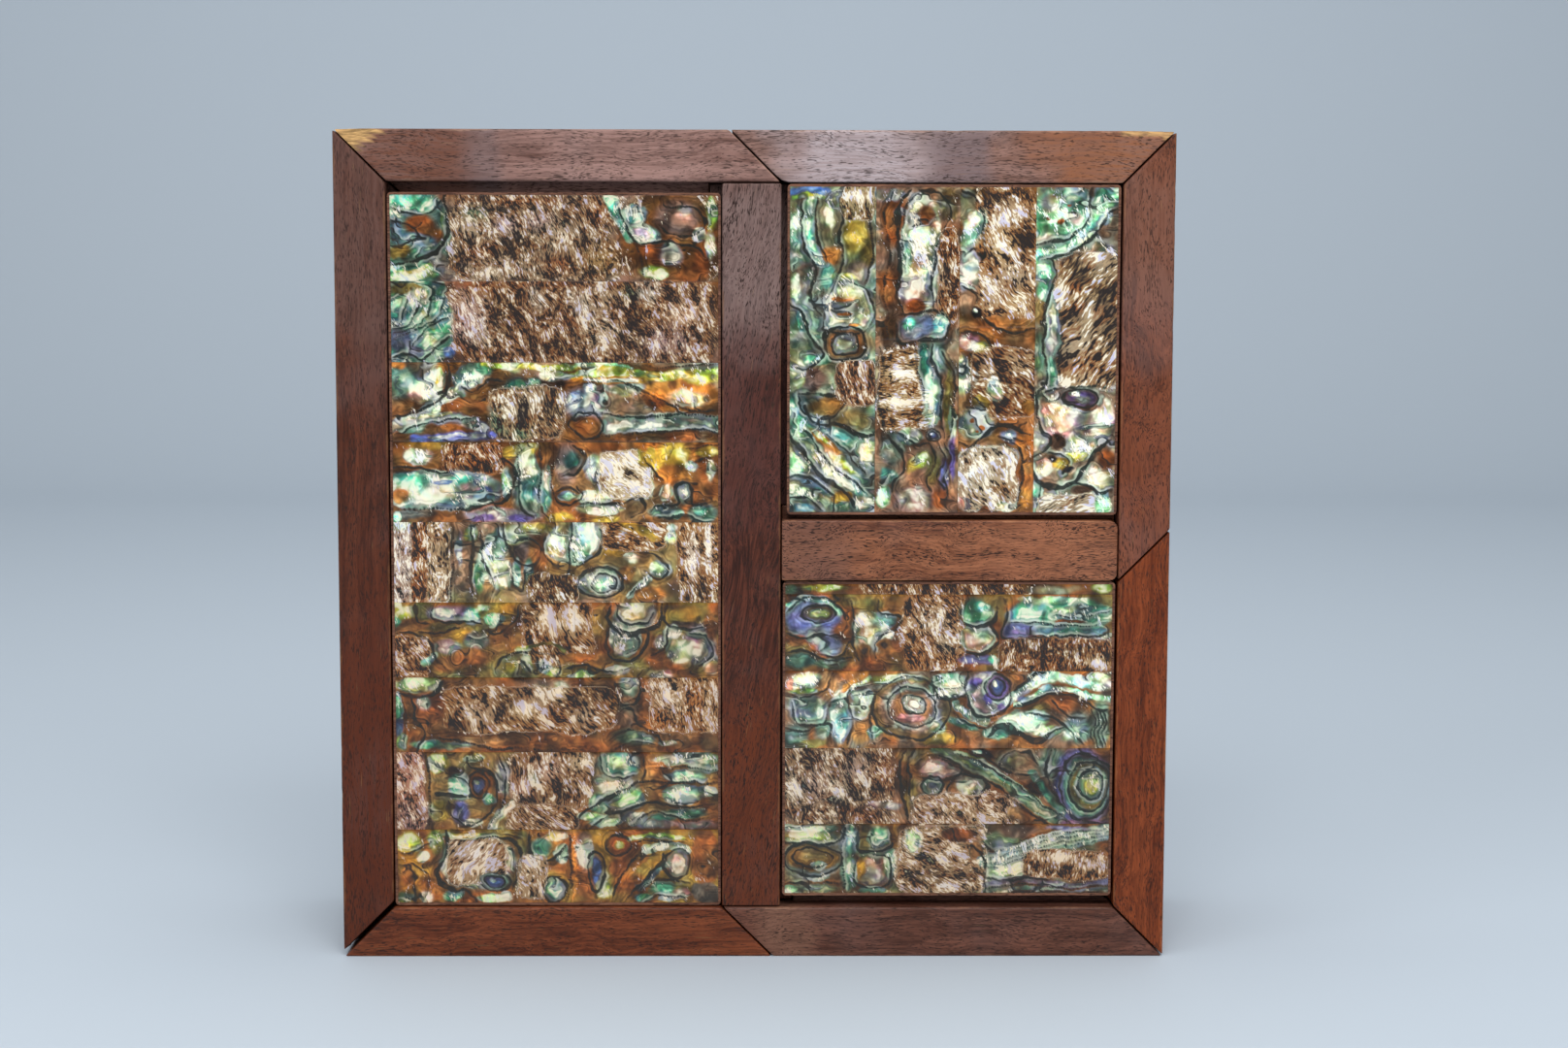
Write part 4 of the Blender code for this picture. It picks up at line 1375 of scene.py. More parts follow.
# %% [markdown]
# A strip is painted as one sheet and then cut into its pieces, but each piece was really cut from
# another shell, so a mark is often kept to one piece by where it lies. In the tall lid a strip's marks
# count from its own top edge, and in the two small lids from the top of the lid.

# %% Lay one strip
LID_RIM = 0.6 * MM
LID_SEEDS = {"tall": 0.0, "upper": 20.0, "lower": 30.0}


def lay_strip(lid, number, marks):
    """Gather a strip's pieces, paint all of their points, and lay the slabs."""
    board_low, board_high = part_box(lid + "_lid_board")
    left, top = board_low.x + LID_RIM, board_high.z - LID_RIM
    nodes = sorted(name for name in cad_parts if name.startswith(f"{lid}_lid_shell_{number}_"))
    if lid == "tall":
        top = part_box(nodes[0])[1].z
    grids = [slab_grid(node) for node in nodes]
    x = np.concatenate([(grid[0].ravel() - left) / MM for grid in grids])
    y = np.concatenate([(top - grid[1].ravel()) / MM for grid in grids])
    strip = Strip(x, y, number + LID_SEEDS[lid])
    strip.varnish = np.full(len(x), float(VARNISH_DEPTH[lid][number - 1]))
    strip.read(marks)
    strip.veins()
    strip.shimmer()
    reached = 0
    for node, (grid_x, grid_z) in zip(nodes, grids):
        lay_slab(node, strip, slice(reached, reached + grid_x.size), grid_x, grid_z)
        reached += grid_x.size
    print(lid, number, "-", len(nodes), "pieces,", len(x), "points")

# %% [markdown]
# The tall lid has nine level strips. Each is described from its left end, with its depth counted
# from its own top edge.

# %% Tall lid, strips 1 to 3
MARKS = {}
MARKS["tall", 1] = """
on brown mauve
hair grey+mauve 13.5 -1 57 21 66
tint teal 20.8 4.9 3 2 / lilac 28 7 3 2, 36 6 3 2 / silver 25 18 10 1.6, 19 9 3 3, 40 9 4 3
tint rust 21 13.5 4 2, 41 17 4 2, 33 1 10 1, 50 4 4 3 / olive+tan 51 15 5.5 4
tint dark 31 12 4 2.5, 15 15 2 3
hair grey+brown 56 -1 80 21 60
dab brown 68 10 14 12
band aqua 3 53 1, 55 5, 58 9
dab aqua+sky 59 4.5 2.6 2.4 / sky+white 62 9.2 3.6 2.2 20 / mauve 69.5 5.4 5.2 4.2
dab pink+mauve 71 4.2 2 1.6 / sky+white 74.8 9.2 1.6 1.6, 77.4 12.4 1.3 3.2 / lime 77.7 4.3 1 4.2
dab rust 63.6 13.5 3 2.6, 72.6 19.2 4 2, 75 15.5 2 3 / grey+lilac 67.9 14 2.6 2.8
dab olive+lime 63.6 18.4 3.2 1.6 / white+lime 65.2 19.5 1.6 .8
hard teal 5 10 9.2 13
dab teal+grey 10 9 3 8 / aqua 4 2 7.5 1.8, 1.5 17.3 2.4 1.2 / mint+white 1.5 4.3 2 1.5
dab rust 7.5 7.5 3.8 3 / sienna 10.5 9.5 2 2 / teal+blue 5.5 10.8 5.2 1.6, 1.5 8 1.6 3
dab olive 2.3 13.5 2.8 1.6 / lime 13.1 6.5 .7 3.5
band mint 2 0 19.8, 5 19.3, 11 18 / lime .9 1 18.4, 6 18, 12 16.5
dab grey 11.5 15.5 2.5 2.5
line .4 30 20, 39 18.4, 44 16.5, 49 18, 54 17
line .5 66 1.5, 67 2.7, 73.7 3.2, 76.4 6.5, 74 9, 68 9.2, 65 6.5
line .5 60 11.5, 65 11, 70 11.5, 74 12, 76 15 / 55 2, 57 7, 60 12, 61 20 / 0 3, 5 4.6, 9 4, 13 1
line .5 0 6, 4 7, 7 10, 3 12.2, 0 12
line .9 13.4 0, 13.8 7, 12.5 12, 8 15.2, 0 16.5
"""
MARKS["tall", 2] = """
on brown mauve
hair brown+mauve 13.5 -1 80 21 64
tint rust 20 1 6 1.5, 36 .5 14 1.2, 60 1 9 1.4, 17 16 4 2, 44 10 2.5 2
tint sky+silver 35 3.5 1.6 3 -25, 62 2.5 3 2.4, 46 6 2 4 -25
tint silver 49.5 4 4 3, 51 12 5.5 4, 22 12 4 3 / teal 57 2 2 1.6 / pink+cream 71.5 7.5 4 3, 18 6 4 3
tint lilac 18 9 5 5, 66 14 6 3 / dark 59.5 12 3 5, 27 8 3 5, 40 16 4 2
hard teal+aqua 6 10 8.6 12
dab olive 4 1.5 4.5 1.4 / cream 6 4 3.2 2 / aqua+sky 2 5.7 3 2.2, 8 7 2 1.4
dab aqua 12 6 1.6 6, 7 11 2 3 50 / lime 9 9 .7 3.2 -30 / grey+blue 2 14 3 3.4, 5 17 3 1.6
dab teal 12.6 15 2.4 1.3 -30 / blue 13.6 17.3 1.4 1.2 / cream+aqua 9 14.5 2 2.5 -40
line .35 .5 10.22, 2.45 10, 3.5 6, 4.7 1.5 / .5 11.28, 4.55 10, 6.5 6, 7.7 1.5
line .35 .5 12.32, 6.65 10, 9.5 6, 10.7 1.5 / .5 13.38, 8.75 10, 12.5 6, 13.7 1.5
line .4 3 19.5, 6 14, 10 10, 14 8
line .5 7 19, 10 16.5, 14.2 13.2 / 0 18, 4 17.8, 9 19.4
"""
MARKS["tall", 3] = """
on brown grey+tan
dab brown 40 12 45 9 / teal+grey 2.8 4.5 4 4 / mint+teal 4 15 4 2 / cream+white 8.6 5.6 4.4 2.8 -35
dab rust+orange 14 .7 3.5 1.6 -20, 1.5 1 2.5 1 / aqua+white 18.7 3.4 3.4 2.6 -30
dab teal+green 22 1.3 2.4 1.8 / cream 12.5 9 5.5 1.6 -25 / yellow 11 3.5 .8 2.4 20
dab brown 26 2.3 2.2 2 / orange+cream 30 1.2 3 1.3 / dark 38 4.5 5 1.8 / white+pink 39 2.9 4 1.3
dab teal 30 6.1 3 2.2, 34 5.5 2 1.6, 27.5 8 1.6 2
hair grey+brown 24 5.5 42 19 72 1.3
tint dark 30 13 5 3, 38 9 4 3 / silver 34 9 3 3, 28 12 3 2 / teal 26 14 2 3, 31 17 3 2
band rust 2.5 13 11, 18 9.5, 22 11
dab grey+lilac 47 10 5 4, 56 6 5 2 / sky+white 48 6 1.6 1, 45 8 1.4 1, 51 8.5 1.2 .8
dab tan+grey 58.5 9.5 7 3, 54 12 4 2 / tan+cream 58 7.5 4 1.2 10
band amber+orange 2.6 45 3.2, 53 4.4, 61 3.6 / cream .9 47 4, 54 4.6, 59 4.2
hard orange 70 7.7 9.5 3.8
dab orange+cream 72 8.6 5 2 / rust 68 5.3 1.1 1.3, 71.6 5 1.6 1, 64 9.5 2.5 1
dab yellow 75 3.4 4.5 1.6, 66 3.2 5 1 / lime 52 2.6 12 .9
band lime+yellow 1.5 22 .2, 34 1, 46 .6, 57 1.9, 68 2.3, 80 1.4 / mint .7 44 .4, 50 .2, 58 1.1
band grey+silver 4 52 15, 66 14, 80 14.6
dab lilac+silver 62 14.5 6 1.2, 74 13.6 4 1 / brown+rust 47.5 15 3 2.5
dab rust 71 17.3 4 1.6, 57 18 4 1
band grey+lilac 3 0 15.5, 7 13.6, 15 13.4, 22 15.5 / tan+cream 1.1 2 14.2, 8 12.4, 14 12
band violet+blue 2.2 5 18.8, 14 18.2, 24 17.3 / lilac .8 9 18.4, 16 17.8, 22 17.4
line .8 14 0, 14 4.5, 12.3 8.3, 8 10.6, 4.4 12.4, 0 13
line .5 .6 17.8, 6 15.4, 13 13.8, 22 13.4 / 17 6, 20 7, 24 4, 27 4.5
line .5 57 5, 64 8.3, 72.7 11.5, 80 11 / 45 12, 43 15, 47 18.2, 51 16, 49 12.4, 45 12
line .5 50 17.5, 62 16.6, 72 16, 80 16.6
line .4 43 6, 50 4.8, 57 5.3, 66 12
line .6 50 12, 58 13, 68 12.4, 80 12.8
line .35 60 .1, 70 .8, 80 .2
"""

# %% [markdown]
# Strips 4 to 6 come next. They are read in the same way.

# %% Tall lid, strips 4 to 6
MARKS["tall", 4] = """
on brown sienna
dab amber+olive 9 .8 6 1.4
hair rust 12 .2 28 7.5 68
dab sky+white 6 3.2 3.4 1.7
hard sky+silver 11.6 11.5 14.6 5.2
dab white+sky 13 11.2 4 1, 17 13.2 4 .8, 8 13.4 3 .8 / aqua 5 9.2 4 2, 16 9 3 1.2
dab blue 21.5 12.4 3.2 1.8, 12 9.4 3 .8 / lilac 18.5 11 2.6 1.2 / mint 27.7 9.7 1.2 3.5
dab tan+orange 1.5 13 2.2 2 / black+grey 5 17.5 5.5 1.4 / aqua .6 18 1.2 1.2
dab lilac+mauve 27 17.6 9 2 / violet 31 18 3 1, 22 18.4 3 .8 / grey+teal 33.5 9 4.5 8
dab sky+white 33 6.2 2.6 4.4 / aqua+blue 34.2 11 2.8 3 / olive+yellow 33 1.6 4 1.6, 28.5 2 2 1.4
dab sienna 36.8 3.5 1.8 3 / cream+white 37.9 9.2 1 3.2 / teal 37.6 14 1.4 3
hard tan 54 9 15 10
dab sienna 47 1 10 1.6, 43 17 5 3 / mauve 42.4 4.8 2.8 5.4 / dark+teal 43.6 4.3 2.2 2
dab teal 44 4.6 1 1 / white+aqua 42.6 13 1.9 1.1
hair silver+cream 50.5 2 63 13.5 40
tint cream 54 5 3 2, 53 10 3 2 / dark 57 7 2 1.4, 50 9 1.6 1.6
dab cream 49 6 2 3, 49 13.5 4 1.8 / yellow+amber 62.2 3 3 2.8, 68.4 2.7 3.8 3, 64 5 2 2
dab orange 67.4 8.1 3.2 3, 61.6 .8 3 1.4, 73 6 2 4 / yellow 63 2 1.2 1.4, 69.5 2.2 1.4 1.2
dab white+cream 50.4 16.2 5.2 1.2 / amber+yellow 41 18.4 3.4 1.2, 52 18.6 3 1
dab cream+silver 66.4 12 1.6 2 / grey+teal 70.5 12.6 2.4 3, 65.8 16.8 4 1.8, 75.3 17.4 4 2
dab pink+cream 70.6 12.4 1.1 1.6 / aqua 74.5 16.6 1.6 1, 69 17.6 1.4 .8 / sienna+rust 76 9 3.4 6
dab cream+tan 77.6 6.5 1 2.6 / yellow+olive 76.8 2.2 2.8 1.3 / sky+white 72.4 5.2 1.8 1.2
line .8 0 6.5, 5 5.7, 11 6.8, 16 6, 22.5 6.5, 27 3.2
line .8 27 3.2, 29.8 6.5, 29.6 9.7, 27.6 13.5, 23.4 15.1, 15.4 16.4, 0 16.2
line .4 30.5 0, 31 8, 31 14, 34 18.5 / 36 0, 36.4 8, 35.8 15, 38.6 19 / 40 12, 43 10.8, 45.5 12
line .4 61 3, 64 7, 66 9 / 71 1, 80 .6
line .6 39.5 0, 39.2 12, 43 15.3, 46.2 13, 44.6 10.4 / 46 15, 50 14.6, 56 14.9, 60 13, 61 16, 58 18
line .6 62 17, 64 15.4, 69 15.4, 69 11.4, 71 9.8, 73 12, 72.8 15.6, 79 14.4
line .5 44.2 1, 46.6 3.6, 45.2 7.2, 41.6 8 / 64 18.6, 70 18, 76 19
line .35 73 4.2, 80 3.2
"""
MARKS["tall", 5] = """
on olive+tan mauve+tan
hair silver+lilac -1 -1 4.3 20 78
tint aqua 2 1 2.4 1.2
hair rust 4.3 -1 8 20 80 / silver+tan 8 -1 13.8 20 84
tint dark 12.8 9 .9 8
hard mauve+tan 16.4 8.6 2.8 9
dab lilac 16 6 .8 4 / lime 19 2.7 1.8 2 / aqua+white 23.8 7.6 2.4 5.4 25 / white 23.4 6.5 1 2.6 25
dab cream+grey 26 12.6 2.8 3.6 / olive+yellow 29.6 2.7 3.2 2.4, 34 1 4 1.2
dab mauve+dark 31.9 7 3.6 2.8 / sienna 35.2 8 2.8 5 / rust 35.4 6 1.4 3 / cream 39.9 4.9 2.8 3.8
dab white 39.4 4.4 1.2 2 / aqua 29.7 12.4 1 3.4 / green+teal 20.5 13 1.2 4, 33 12 1 3
hair brown+dark 33 12.5 45 20 70
dab white+cream 46.2 3.4 4.2 3.6 / white+sky 45.6 3 2 2.4 / mint 45 8 3 1.6
hair rust+tan 51 -1 66.5 6.5 28
dab amber 60 2 5 1 25, 54 8 3 1.6 / tan+olive 54 11 5 3 / lilac+white 58.2 8.6 1.8 1.6
dab white+lime 65.1 11.4 2.4 1.8, 68 3.8 1.9 1.3 / sky 67.8 1.4 1.4 1 / tan+cream 50.1 14.6 5.2 3.2
dab mint 51 15 2.4 1.6 / white 51.5 14.8 1 .7
band white+lilac 1.3 57.2 18, 59.5 15.7, 62.2 13.8
dab sienna+orange 62 17.5 4 2, 56.5 13 2 2
hair sienna+tan 69.3 -1 80 20 68
tint lilac+white 73 9 1.5 5, 77 6 1 5 / dark 74 17 5 2.4
line .5 14.1 0, 14.3 8, 13.9 20 / 21.5 1, 21.8 8, 24 14, 23 20 / 28.4 10, 28.6 15, 31.4 17, 32.2 12
line .5 36.6 2, 37.2 8, 40 10.4, 43 9 / 53 .6, 59 3.4, 66 5.6
line .5 52 3, 58 6.2, 64 8, 67 11, 64.6 13.9, 60.8 12
line .6 19 0, 19.4 6, 18.6 12, 19.2 20 / 26.4 0, 27.4 5, 29.8 9.6, 34 10.6, 36.2 7, 33 3.6, 29 4.6
line .6 42.9 0, 43 6, 42.4 12.5, 38 14 / 50.3 1, 51.2 5, 49 8.4, 44 10.6
ring .5 50.3 14.8 5.6 3.5
ring .35 51 14.9 3.2 2.1
line .4 56 19.5, 58.6 16.2, 63 12.8
"""
MARKS["tall", 6] = """
on sienna olive
dab lime .2 .8 2 1.4 / aqua .6 3 1.2 2.4 / olive+yellow 2.6 2.2 3 1.8 / olive+black 7.2 2 2.6 2.6
dab blue+lilac 13.1 2.7 4.8 1.7 / sky 12 2.3 2.2 .8 / aqua 18.6 2.9 1.8 2
dab olive+dark 11.2 5.9 4 1.1 / mint 24.1 3.8 2.2 1.4, 21.6 1 1.6 .8
dab amber 16.2 7.7 3 1.8, 26.3 1.6 3.6 1.4 / tan+lilac 20 9 3 2
hair rust+tan -1 8.2 8.5 20 58
dab grey+lilac 12.6 10.7 3.2 1.8 / sienna 18.6 13 5 2.4, 13 15 4 2 / aqua+white 8.3 13.6 2 .9 -30
hair sienna+tan 31 -1 48.6 15 62 1.3
tint dark 32 3 3.6 3, 40 11 3 2 / cream 43 5 3 3, 37 4 2 3
hard silver+tan 58.7 2.4 5.4 4.2
dab cream+tan 58.2 3.4 3 2 / white 58.4 .8 2 1.1
hard lilac+white 56.1 8.7 3.8 4.4
dab sky+white 55.8 10.6 2.6 2 / tan+amber 50.5 5 2.4 4 / olive+amber 70.9 2.7 4.2 1.8, 66 2.4 2 2
dab dark 71 5.1 4.6 .9 / sky+white 67.8 7 2 1.8, 64.8 9.6 1.4 1.6 / grey+lilac 74.6 10 3.8 5
dab tan+cream 70 12 3 3, 77.6 15 1.8 3 / sienna 64 14 3 2.6, 77.5 5.5 2 3
dab amber+yellow 27.8 15 2.8 2 / lime 32 14.6 1.4 2.4 / aqua+white 36.3 15.5 1.8 1.9
dab rust+orange 44.2 13.6 5 1.3 / mint+lime 45.7 17.8 2.6 .9
dab lime+yellow 31.5 11.4 2 1, 39 17 2 1.2 / cream+pink 54 16.8 3 1.2, 65 17.6 3 1
band olive 1 33.5 11, 37.8 10, 41.5 11.6
line .6 9.8 0, 9.4 4, 13 4.9, 17.6 4.3, 21 5 / 5 0, 5.4 4.5, 8 5 / 66.6 0, 66 4.6, 71 6.1, 77 5.2
line .6 25 18, 25.6 13.4, 30 12, 34.4 13, 34.2 18 / 34.4 12.4, 38.4 12.6, 40.6 15.6, 39.6 18.4
line .5 6 7, 11.2 7.3, 16 5.6 / 22 6, 25 7.2, 29 4.4, 31 0 / 72 7, 76.6 8.4, 77.6 13.2, 74 16.4
line .5 42 16, 47 15.6, 52 17.2, 58 16.2 / 0 7.4, 4.4 7.6, 8.4 9.4, 9.6 13, 14 17
line 1.1 52.8 0, 52.4 4.4, 55.6 6.9, 60.8 7, 64.8 4.2, 65.2 0
line .4 54.6 0, 54.6 3, 57.6 4.9, 61.4 4.6, 63 2 / 29.4 17.6, 30.8 14, 32.8 17.8
line .8 52.6 6, 51.4 10, 53 13.6, 58 14.3, 61 11.2, 62 7
line .35 54 8.4, 58.6 7.8, 59.4 11, 56 12.6
line .7 62.6 13, 66.4 11, 66.6 5.8
"""

# %% [markdown]
# Strips 7 to 9 are the lowest of the tall lid.

# %% Tall lid, strips 7 to 9
MARKS["tall", 7] = """
on sienna brown
hair sienna+tan 10 2 55 13.5 52 1.5
tint silver 36 4 6 3, 20 9 5 3, 47 9 4 3 / dark 27 6 3 4, 43 5 3 3, 50 4 3 3, 15 12 3 2
tint cream 40 3 2 2, 32 8 3 2
dab sienna 37 15.6 9 2, 50 17.4 5 1.2 / tan 22 15.6 6 1.6 / cream+lime 5.8 1.8 5.2 1.9
dab white 4.8 1.6 1.8 .9 / aqua .4 7.4 1 3.4 / blue .5 12 1 2.6 / teal+lime 1.4 15.8 1.4 2
dab rust 8 7.4 4 5 / tan+lilac 7 6 1.6 2 / aqua 7.3 16.5 3.4 1 / teal+grey 14 17 5 .9
dab teal+grey 57.5 1.8 2.6 3 / silver 57.2 2 1 1.6 / mauve+tan 57 9 2.8 4
dab olive+teal 58.7 14.8 5.2 2
hair sienna+tan 62.5 -1 80 13.5 74
tint white+tan 67.2 4.5 4.2 4 / orange+rust 74 6 2.4 5, 64 11 2.4 3 / cream+tan 76.6 9 1.1 8
dab tan 69 15.3 5 2, 77 15.4 2 2 / cream 67 16 2.2 .8
line .7 3.8 4, 4.6 7, 4.2 10, 7 14, 4 19
line .6 0 4, 4 4.6, 9 3.6, 12 1 / 54 1, 54.8 6, 58.2 6.6, 60.4 3, 60 0
line .4 1.6 5, 2.2 11, 1.8 17 / 54 18, 58.6 15.8, 64 16.6
line .5 7 14.9, 14 15.6, 24 17.4, 36 17.8, 48 18.2 / 54 12, 55.2 8, 58 8, 60 11.4, 64 13
line .5 52 16, 57.6 13.2, 64 13.8, 66 16.6
"""
MARKS["tall", 8] = """
on olive+tan brown
hair rust+pink -1 -1 7 20 66
tint dark+lilac 3 16 4 3
hard olive+tan 15.5 9 9 10
dab lime 10.6 2.6 2.6 2.2, 19 1.4 2.4 1 / dark 14 4.8 1.4 1.4 / aqua 15.6 8.4 2.6 3 10
dab sienna 20.4 7.4 3 3.6
eye blue+black brown 20 8 1.5 2.1
dab aqua 22.3 11.6 1.6 1.4 / olive+yellow 10.4 14.5 3 2.4 / violet+blue 15.6 15 2 3
dab cream 18.9 17.2 2 1
band lilac+cream 2 23.6 18.5, 25.3 15, 28 12.5
dab tan+lilac 26 6 2.4 4
hair mauve+tan 28 -1 49 13.5 72 1.3
tint aqua 33.5 6.4 1.4 1.8 / silver+pink 37 4 4 3, 31 9 3 3 / dark 41 9 3 3, 33 12 4 2
tint cream+silver 45.9 2.4 3 2
hair tan+mauve 27 13 45 20 40
dab black 49.7 3.7 .8 1.6
hard grey+olive 54 9 6 9
dab aqua+blue 55 2.6 4.6 3 / aqua+white 54.4 2.2 2.4 1.6 / cream+lilac 53.4 8 4 2.6
dab aqua+lime 57.2 10.8 4 2.6 20 / mint 48.2 15.8 3.4 1, 51.6 17.4 3.6 .9 / teal+green 50 12.6 2.4 2
dab tan+orange 63.2 3.7 3.2 3, 63.2 9.9 2.6 2.2
dab aqua+white 71 1.5 7.5 1.3, 71 5.9 4.8 1.4, 70.4 10.3 4.2 2
dab mint+lilac 75.4 3.6 3.4 1, 76 9.6 2.4 1.4 / teal 71.3 15 5 1.3, 66 16.4 3 1
dab brown+lilac 64 18 5 1, 74 18 5 1 / cream+tan 59 16.4 3 1.4
line .5 7.6 0, 8 8, 7.4 19.4 / 12.8 12.4, 13.4 16, 17.4 18 / 50.6 0, 51.2 5, 55 6, 60 5
line .7 17.8 1, 18 3.7, 22 4.4, 24.3 8, 24 13, 21 16.4, 16 18.6
line .7 44 19, 46 15, 50 12.4, 54.3 9.9, 60 7, 67 7.5, 79 7.3
line .9 9.6 10.4, 14 10.7, 18.3 10.3
line .4 12 6.6, 15 6, 17.4 7.4 / 25.6 0, 26.6 6, 25.8 12, 22.5 19 / 60.6 0, 61 5, 60.6 7
line .4 58 17.6, 64 15, 72 16.8, 79 16
line .6 48 18.6, 52 15.6, 57.4 14, 61 12.9, 66.7 12.7, 72 13.4, 79 13
line .35 62 3.8, 70 3.6, 79 4
"""
MARKS["tall", 9] = """
on sienna olive+amber
dab yellow+lime 3 3 3 2.8 / amber 2.6 6.8 2.6 2 / white+yellow 6 6.5 1.5 1.2
dab amber+orange 6 10.3 2.8 2.4, 2 13.6 2 2 / sienna+orange 2 11 1.6 3, 10 15.5 1.6 2
dab pink+cream 7 16.8 1.8 1.4 / olive+lime 9.4 3 2 3, 2 17 2.4 1.2
hard silver+tan 20 8 9.6 7.4
hair silver+tan 12.4 2 27 14 -50 1.5
tint lilac+white 19 6 4 3
dab lime 18 1.5 6 .9
eye blue+black teal 24 13 2.8 1.5
dab mint 23.4 17.3 3.4 1.1 / sky+lilac 27 16.6 1.6 1.2 / aqua 14 16.4 2.4 1.4 / olive 31 3 2 3
dab teal 35.3 4.3 2.6 2.6 / lime+white 39 1.6 2.7 1.3
hair silver+tan 30 6 37 17 70 1.4
dab aqua+white 40.4 6 1.6 2 / mint+teal 38.8 15 2.1 3.1 / white 38.4 14.6 .8 1.2
dab orange 43.5 9 .7 9 / silver+sky 46.2 5.4 2.2 4.6 / sienna+rust 47 14.6 3 3
dab blue+black 49 10.3 1.4 4.2 / amber+yellow 51.4 15 2.4 2
dab rust 54.8 3.8 2.6 2.4, 54.5 9.6 2.4 2.6 / olive+lime 54.8 3.8 1 1
band orange 1.6 55.4 13.6, 58.6 9.6, 61.6 6.4 / teal+blue 1.5 59.5 14.4, 63.3 10.8, 66.4 8
band lime 1.3 57.4 2.2, 63.6 .9, 70.4 2 / mint+white 1.8 61.6 5, 66.3 3.6, 71 5.2
dab pink+tan 69 8.6 2.8 3.2 / pink 68.6 8 1.2 1.6 / aqua 65.2 14.6 3.2 1.6, 61 16.6 2 1
dab pink 70 16.2 2.2 1.2 / sky+white 66.4 17 1.6 .8
hard sienna 76 6.5 3.7 7 / grey+dark 76 15.8 3.7 3
line .8 12.5 0, 12 6.5, 9.8 10.8, 12 14, 18 16.2, 20 18.4
line .6 12.6 3, 18 2.8, 26 1.6, 30 4.6, 30.4 9, 29 14.6 / 32.6 0, 32.8 6, 37.8 7.4, 41.6 4.4
line .4 0 5.2, 4 5, 8.4 3 / 0 9, 4 8.6, 8 12.6, 6 18 / 58 3.4, 64 2.4, 71.6 3.6
line .4 61 18, 65 16.4, 72 17.6
ring .5 38.8 15 2.6 3.6 / 49 10.4 2.3 5.2 / 54.8 3.8 2.9 2.6 / 69 8.6 3.2 3.7
line .5 42.4 0, 42.6 9, 42 18 / 53 18, 54.8 13.4, 58 8.4, 61 4.6 / 62 12.8, 66.5 12.4, 72 13.6
line .7 56.4 18, 60.6 12.6, 65.4 7.6, 66 5.4
"""

# %% [markdown]
# The upper lid has four upright strips.

# %% Upper lid
MARKS["upper", 1] = """
on olive+grey teal+grey
dab grey+olive 11 8 9 10
band blue 1.6 0 1.4, 4 .8, 9 1.6 / lime 1 1 2.8, 5 2.2, 10 3.4
dab white+aqua 1.6 10.6 1.3 5
band teal+mint 2.6 5 4, 4.2 9, 5.2 14, 6.6 18
dab aqua 5.2 12 .8 4 / grey+olive 9.5 7.3 3 6 / silver+cream 9.6 7 1 4 / rust+orange 10 16.8 2.6 2.2
dab yellow+olive 15.5 11.7 3.6 4.6 / olive 18.6 16 2 4
hair grey+olive 12.6 -1 20.8 8 84
tint cream 16.6 2.4 3 2
dab teal 9 21.5 2.2 3 / grey+mauve 4 22 3 4, 17 21 3 3 / yellow 13.3 22 3.2 .9
dab aqua+white 1.4 24.5 1.4 3
hard silver+cream 13.9 29 5.6 6.4
dab lilac+cream 12.6 31 3 4 / orange 12.8 27 2.6 .5 8, 13 30.7 2.4 .5 8, 15.5 33.7 1.8 .45
dab teal+grey 4.4 34 4.6 7 / aqua 3 32 1.2 3, 6.6 41.6 3 1.3 / brown 13.3 37.8 4.6 3.6
dab grey+silver 13.3 37.8 3 2.3 / mauve+dark 5.7 46.5 3.4 3
hair rust+mauve 11 42 21 53.4 70
dab tan+cream 2 45 1.6 3 / aqua+teal 1.9 53 2.6 3 / rust+olive 9 53 4.4 2.3 / aqua+mint 3 58 2.2 3
dab olive+tan 15.6 57 4 3 / aqua+blue 12.2 60 3.6 1.6 20 / orange 9 62 5.2 1.3 40
dab yellow 7.6 60.6 3 .6 40 / cream+white 11.7 68.2 7 2.6 40 / yellow+lime 14 67.6 4 .8 40
dab cream 19.3 64.4 1.6 3.6 / aqua+sky 16.6 73 3 1.2 40 / blue+teal 5.7 72.5 4.4 1.1 20
dab white+mint 3 74.4 3.6 1.1 20 / mint 1.6 68 1.6 3 / amber 12.8 75.3 2.8 1.6
dab silver 17.7 76.3 2.6 1.6 / teal+blue 3 78 3 1
line .6 3.2 3, 2.8 9, 3.8 15, 6 20, 5 26, 7 31 / 0 28, 3 30, 4.6 35, 8 40.6, 4 44, 0 43
line .6 3.6 58.6, 8 64.6, 14 70, 19.4 74.6 / 0 70.6, 5 70.8, 10.4 74.4, 11 79
line .5 6.6 3, 6.2 8, 7.4 14, 9 18.6 / 12.4 1, 12.8 7, 11.6 12.6, 13 18, 10.8 24, 9 27
line .5 20.4 0, 19.6 8, 20.2 16, 18.4 24 / 2 49.6, 8 50, 13.6 52, 10 55.8, 4 54.6, 2 49.6
line .5 0 75.8, 4 75.8, 8 78.4
line .45 8 24.6, 8 32, 9.4 35.2, 17.6 35.6, 20.2 31, 19 25, 14 22.8
ring .5 13.3 37.9 5 3.9
ring .35 13.3 37.9 3.2 2.5
line .8 4 52.5, 6.3 57, 12.2 57.3, 17 60.6, 20.6 60
line 1 0 59.5, 3 64.4, 7.3 69.3, 13 73.6, 16 78
line .4 9 59.6, 13.6 63.8, 19 69.6
"""
